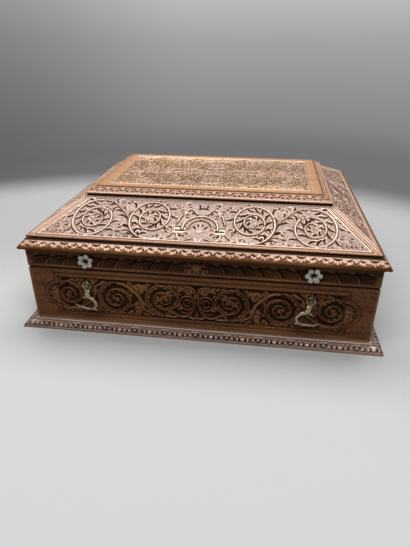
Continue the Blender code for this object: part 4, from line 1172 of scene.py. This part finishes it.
def makeTopBoards():
    half = [side - top["moulding"] for side in top["half"]]
    field = [side - top["band"] for side in half]
    height = top["edge"] + top["rise"]
    c = topCarving(field)
    gap = solid["gap"] / 2
    for name, front, back in (("front", -half[1], top["joint"] - gap), ("back", top["joint"] + gap, half[1])):
        def carve(x, v, front=front):
            y = front + v
            inside = np.minimum(field[0] - np.abs(x), field[1] - np.abs(y))
            cut = c.at(x, y)
            carved = np.minimum(np.maximum(cut, -1.3 * np.maximum(inside - top["bead"], 0)), 0)
            across = (inside - top["bead"] / 2) / (top["bead"] / 2)
            bead = np.minimum(-1.3 + 1.35 * np.sqrt(np.clip(1 - across ** 2, 0, 1)), 0)
            plain = incised(inside, -0.4, 0.4, 0.8)
            made = np.where(inside > top["bead"], carved, np.where(inside > 0, bead, plain))
            ground = (cut < c.ground + 0.12) & (cut > c.ground - 0.9) & (inside > top["bead"] + 0.6)
            return made, ground.astype(float), smooth(-inside, 1.0, 2.0) * 0.8, 0.0

        sweep({
            "name": f"{name}TopBoard", "node": f"top_board_{name}", "body": "lid", "slot": "top_wood",
            "look": "topWood", "face": steps((-front, height), (-back, height), top["pitch"]),
            "back": [(-back, 0), (-front, 0)], "base": solid["topBase"], "turn": 0, "half": half[0],
            "span": 0.0, "lean": 0.0, "trim": 0.0, "dark": top["dark"], "backShade": 0.0, "carve": carve,
            "columns": spread(half[0], top["band"] - 1, top["pitch"], 2.0),
            "grainAt": (0.0, 0.0, 0.9 if name == "front" else 1.7),
        })


makeTopMoulding()
makeTopBoards()
print("top carved")


# rosettes: six dimpled petals round a hole for the catch stud
rosette = {
    "petals": 6, "petal": 2.95, "ring": 5.55, "hole": 2.1, "low": 0.3, "edge": 0.5, "high": 2.3,
    "dimple": (0.6, 1.5), "spread": 111.0, "up": 77.0, "turn": {"left": 17, "right": 3}, "around": 132,
    "across": 16,
}
stud = {       # (how far out from the middle of the box, radius) along the pin
    "profile": ((141.0, 1.4), (154.4, 1.4), (154.9, 1.34), (155.3, 1.15), (155.55, 0.8), (155.7, 0.4)),
    "up": 76.3, "around": 24, "bright": (153, 155),
}
hands = (("left", -1), ("right", 1))


def makeRosette(hand, side):
    spec = rosette
    theta = np.linspace(0, tau, spec["around"], endpoint=False)[:, None]
    part = tau / spec["petals"]
    off = (theta - math.radians(spec["turn"][hand]) + part / 2) % part - part / 2
    outline = spec["ring"] * np.cos(off) + np.sqrt(spec["petal"] ** 2 - (spec["ring"] * np.sin(off)) ** 2)
    r = spec["hole"] + (outline - spec["hole"]) * np.linspace(0, 1, spec["across"])
    far = np.hypot(r * np.cos(off) - spec["ring"], r * np.sin(off))
    dome = np.clip(1 - (far / spec["petal"]) ** 2, 0, 1) ** 0.40
    dish = np.exp(-(far / spec["dimple"][1]) ** 2)
    out = spec["edge"] + (spec["high"] - spec["edge"]) * dome - spec["dimple"][0] * dish
    low = np.full_like(theta, spec["low"])
    r = np.hstack([r[:, :1], r, r[:, -1:]])
    out = np.hstack([low, out, low])
    x = side * spec["spread"] + r * np.cos(theta)
    points = np.dstack([x, -solid["halfDepth"] - out, spec["up"] + r * np.sin(theta)])
    # painted highlight: petal domes brighter, with painted shade dulling the dimples
    shine = np.hstack([low * 0, 0.95 * dome ** 2 * (1 - 0.7 * dish), low * 0])
    addPiece({
        "name": f"{hand}Rosette", "node": f"{hand}_rosette", "body": "lid", "slot": "pewter",
        "look": "pewter", "shells": [(points, True)], "values": {"worn": shine},
    })


def makeStud(hand, side):
    along, radius = np.asarray(stud["profile"]).T[:, :, None]
    theta = np.linspace(0, tau, stud["around"], endpoint=False)
    x = side * rosette["spread"] + radius * np.cos(theta)
    points = np.dstack([x, -along + 0 * theta, stud["up"] + radius * np.sin(theta)])
    # painted highlight at the stud's end
    shine = smooth(along, *stud["bright"]) + 0 * theta
    addPiece({
        "name": f"{hand}CatchStud", "node": f"{hand}_catch_stud", "body": "lid", "slot": "aged_brass",
        "look": "agedBrass", "shells": [(points, False)], "values": {"worn": shine},
    })


for hand, side in hands:
    makeRosette(hand, side)
    makeStud(hand, side)
print("rosettes made")


# hooks: dished eye, beaded collar, baluster neck, leaf in the throat, tapering arm and spur
hook = {
    "pivot": (111.0, 153.8, 52.0), "hang": 6.0, "eye": (
        (1.45, -1.2), (4.2, -1.2), (4.6, -0.8), (4.7, 0.6), (4.3, 1.2), (3.7, 1.15), (3.1, 0.4), (1.45, 0.3),
    ),
    "stem": (
        (3.6, 0, 2.3), (5.2, -1, 2.1), (6.6, -2, 2.9), (7.9, -3, 2.2), (10.2, -4, 2.6), (12.6, -7, 2.5),
        (14.2, -13, 1.9), (17.1, -23, 1.85), (21.3, -26, 1.6), (25.1, -22, 1.4), (27.6, -10, 1.2),
        (27.6, -2, 1.15), (27.6, 6, 1.1), (27.6, 14, 1.0), (27.6, 21, 0.85), (27.6, 27, 0.55),
    ),
    "leaf": ((12.0, -6, 1.6), (14.4, 11, 1.3), (16.4, 19, 0.7)),
    "spur": ((26.8, -14, 1.2), (28.2, -18, 1.5), (29.8, -21, 0.9)),
    "beads": ((6.7, -17, 1.7), (6.7, 13, 1.7)), "flat": 0.80, "broad": 1.20, "around": 14,
    "eyeAround": 40,
}


def tube(points, side, around, flat):      # (reach, degrees from straight down, thickness) along the rod
    path = through(points, 5)
    angle = np.radians(path[:, 1])
    middle = np.column_stack([side * path[:, 0] * np.sin(angle), -path[:, 0] * np.cos(angle)])
    way = np.gradient(middle, axis=0)
    way /= np.linalg.norm(way, axis=1, keepdims=True)
    across = np.column_stack([-way[:, 1], way[:, 0]])
    turn = np.linspace(0, tau, around, endpoint=False)
    thick = path[:, 2:3]
    x = middle[:, :1] + thick * across[:, :1] * np.cos(turn)
    y = middle[:, 1:] + thick * across[:, 1:] * np.cos(turn)
    return np.dstack([x, y, flat * thick * np.sin(turn)])


def ball(spot, side, around):
    reach, lean, size = spot
    turn = np.linspace(0, tau, around, endpoint=False)
    rise = np.linspace(-1.45, 1.45, 8)[:, None]
    middle = (side * reach * math.sin(math.radians(lean)), -reach * math.cos(math.radians(lean)))
    ones = np.ones_like(turn)
    x = middle[0] + size * np.cos(rise) * np.cos(turn)
    y = middle[1] + size * np.cos(rise) * np.sin(turn)
    return np.dstack([x, y, size * np.sin(rise) * ones])


def hookShells(side):       # in millimetres from the pivot: across, up, out
    spec = hook
    turn = np.linspace(0, tau, spec["eyeAround"], endpoint=False)[:, None]
    reach, out = np.asarray(spec["eye"]).T
    shells = [(np.dstack([reach * np.cos(turn), reach * np.sin(turn), out + 0 * turn]), True)]
    for part in ("stem", "leaf", "spur"):
        run = [(reach, lean, thick * spec["broad"]) for reach, lean, thick in spec[part]]
        shells.append((tube(run, side, spec["around"], spec["flat"]), False))
    for bead in spec["beads"]:
        shells.append((ball(bead, side, spec["around"]), False))
    return shells


def makeHook(hand, side):
    right, front, up = hook["pivot"]
    hang = math.radians(hook["hang"])
    shells = hookShells(side)
    placed = []
    for grid, ringed in shells:
        x, y, out = grid[..., 0], grid[..., 1], grid[..., 2]
        across = side * right + x * math.cos(hang) + y * math.sin(hang)
        rise = up - x * math.sin(hang) + y * math.cos(hang)
        placed.append((np.dstack([across, -front - out, rise]), ringed))
    # painted highlight: brighter where the hook stands furthest out from the box
    shine = np.concatenate([np.clip(grid[..., 2] / 1.3, 0, 1).ravel() for grid, ringed in shells])
    addPiece({
        "name": f"{hand}Hook", "node": f"{hand}_hook", "body": f"{hand}_hook", "slot": "aged_brass",
        "look": "agedBrass", "shells": placed, "values": {"worn": 0.50 * shine ** 2},
    })


for hand, side in hands:
    makeHook(hand, side)
print("hooks made")


# fittings and hidden boards keep their solids
def dressFittings():
    for name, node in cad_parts.items():
        if any(word in name for word in ("hook", "hinge", "stud")):
            look = "agedBrass"
        else:
            look = "plainLidWood" if "peg" in name else "plainCaseWood"
        for place in node.material_slots:
            place.material = looks[look]


dressFittings()
print("fittings dressed")


# stage: a pale floor with a painted pool of light that falls off to grey, a round grey backdrop that glows
# with painted shading, soft light from above and behind
# paper and paperTo give the painted pool of light; floorTones and wallTones the painted shading of the
# glowing floor and backdrop; dim and dimTo the painted shade towards negative x
stage = {
    "paper": (0.328, 0.250), "paperTo": (0.22, 0.50), "pool": (-0.07, -0.35, 0.0), "fade": (0.67, 0.85),
    "radius": 1.15, "height": 1.2, "floorFrom": 0.75, "floorTones": (0.175, 0.235),
    "wallTones": ((0.0, 0.235), (0.36, 0.300), (0.66, 0.368), (0.92, 0.480), (1.0, 0.51)), "wallTop": 0.40,
    "dim": 0.55, "dimTo": (-0.95, -0.15), "hidden": 0.30, "ambient": 0.135, "segments": 96,
}


def stageMaterial(name, spec, build):
    material = bpy.data.materials.new(name)
    material.use_nodes = True
    tree = material.node_tree
    tree.nodes.clear()
    w = Wire(tree)
    place = w.make("NewGeometry", {}, {}, out=0)
    across = w.make("SeparateXYZ", {}, {0: place}, out=0)
    # painted shade: darker towards negative x
    side = w.make("MapRange", {"interpolation_type": "SMOOTHSTEP"}, {
        0: across, 1: spec["dimTo"][0], 2: spec["dimTo"][1], 3: spec["dim"], 4: 1.0})
    seen = sum((w.make("LightPath", {}, {}, out=out) for out in (3, 6)), w.make("LightPath", {}, {}, out=0))
    plain = w.make("BsdfDiffuse", {}, {"Color": (*[spec["hidden"]] * 3, 1)})
    surface = build(w, place, side, seen.clamp(0.0, 1.0), plain)
    out = tree.nodes.new("ShaderNodeOutputMaterial")
    tree.links.new(surface.socket, out.inputs[0])
    return material


def floorSurface(w, place, side, seen, plain):
    off = w.make("VectorMath", {"operation": "SUBTRACT"}, {0: place, 1: stage["pool"]})
    far = w.make("VectorMath", {"operation": "LENGTH"}, {0: off}, out=1)
    soft = {"interpolation_type": "SMOOTHSTEP"}
    edge = w.make("MapRange", soft, {0: far, 1: stage["fade"][0], 2: stage["fade"][1]})
    # painted pool of light: the paper darkens away from the pool's middle
    shade = w.make("MapRange", soft, {
        0: far, 1: stage["paperTo"][0], 2: stage["paperTo"][1], 3: stage["paper"][0], 4: stage["paper"][1]})
    paper = w.make("BsdfPrincipled", {}, {"Base Color": shade, "Roughness": 0.9, "Specular IOR Level": 0.0})
    out = w.make("VectorMath", {"operation": "LENGTH"}, {0: place}, out=1)
    # beyond the pool the floor glows for camera, glossy and transmission rays, with painted shading that
    # grows lighter further out and darker towards negative x
    near, distant = stage["floorTones"]
    tone = w.make("MapRange", {}, {0: out, 1: stage["floorFrom"], 2: stage["radius"], 3: near, 4: distant})
    glow = w.make("Emission", {}, {"Color": side * tone, "Strength": 1.0})
    beyond = w.make("MixShader", {}, {0: seen, 1: plain, 2: glow})
    return w.make("MixShader", {}, {0: edge, 1: paper, 2: beyond})


def wallSurface(w, place, side, seen, plain):
    up = w.make("SeparateXYZ", {}, {0: place}, out=2)
    # the backdrop glows for those rays, painted darker low down and towards negative x
    tones = [(at, (tone, tone, tone)) for at, tone in stage["wallTones"]]
    shade = w.make("ValToRGB", {"stops": tones}, {0: up.clamp(0.0, stage["wallTop"])})
    glow = w.make("Emission", {}, {"Color": w.mix(1.0, shade, side, "MULTIPLY"), "Strength": 1.0})
    return w.make("MixShader", {}, {0: seen, 1: plain, 2: glow})


def addStage(spec):
    turn = [tau * k / spec["segments"] for k in range(spec["segments"])]
    low = [(spec["radius"] * math.cos(a), spec["radius"] * math.sin(a), 0.0) for a in turn]
    high = [(x, y, spec["height"]) for x, y, z in low]
    count = len(turn)
    around = [(k, (k + 1) % count, count + (k + 1) % count, count + k) for k in range(count)]
    for name, points, faces, build in (
        ("floor", low, [tuple(range(count))], floorSurface), ("backdrop", low + high, around, wallSurface),
    ):
        mesh = bpy.data.meshes.new(name)
        mesh.from_pydata(points, [], faces)
        made = bpy.data.objects.new(name, mesh)
        bpy.context.collection.objects.link(made)
        mesh.materials.append(stageMaterial(name, spec, build))


def addWorld(spec):
    world = bpy.data.worlds.new("studio")
    bpy.context.scene.world = world
    world.use_nodes = True
    shade = world.node_tree.nodes["Background"]
    shade.inputs[0].default_value = (1.0, 1.0, 1.0, 1)
    shade.inputs[1].default_value = spec["ambient"]


lamps = (
    {
        "name": "backCeiling", "place": (-0.02, 0.50, 1.35), "aim": (-0.02, 0.42, 0.0), "size": (1.7, 0.9),
        "power": 39.0,
    },
    {
        "name": "frontCeiling", "place": (-0.05, -0.62, 1.30), "aim": (-0.05, -0.5, 0.0), "size": (1.7, 0.35),
        "power": 18.0,
    },
)


def addLamp(spec):
    light = bpy.data.lights.new(spec["name"], "AREA")
    light.shape = "RECTANGLE"
    light.size, light.size_y = spec["size"]
    light.energy = spec["power"]
    lamp = bpy.data.objects.new(spec["name"], light)
    lamp.location = spec["place"]
    way = [a - b for a, b in zip(spec["aim"], spec["place"])]
    tilt = math.atan2(math.hypot(way[0], way[1]), -way[2])
    lamp.rotation_euler = (tilt, 0, math.atan2(way[1], way[0]) - math.pi / 2)
    bpy.context.collection.objects.link(lamp)


addStage(stage)
addWorld(stage)
for spec in lamps:
    addLamp(spec)
bpy.context.scene.view_settings.view_transform = "Standard"
print("stage lit")
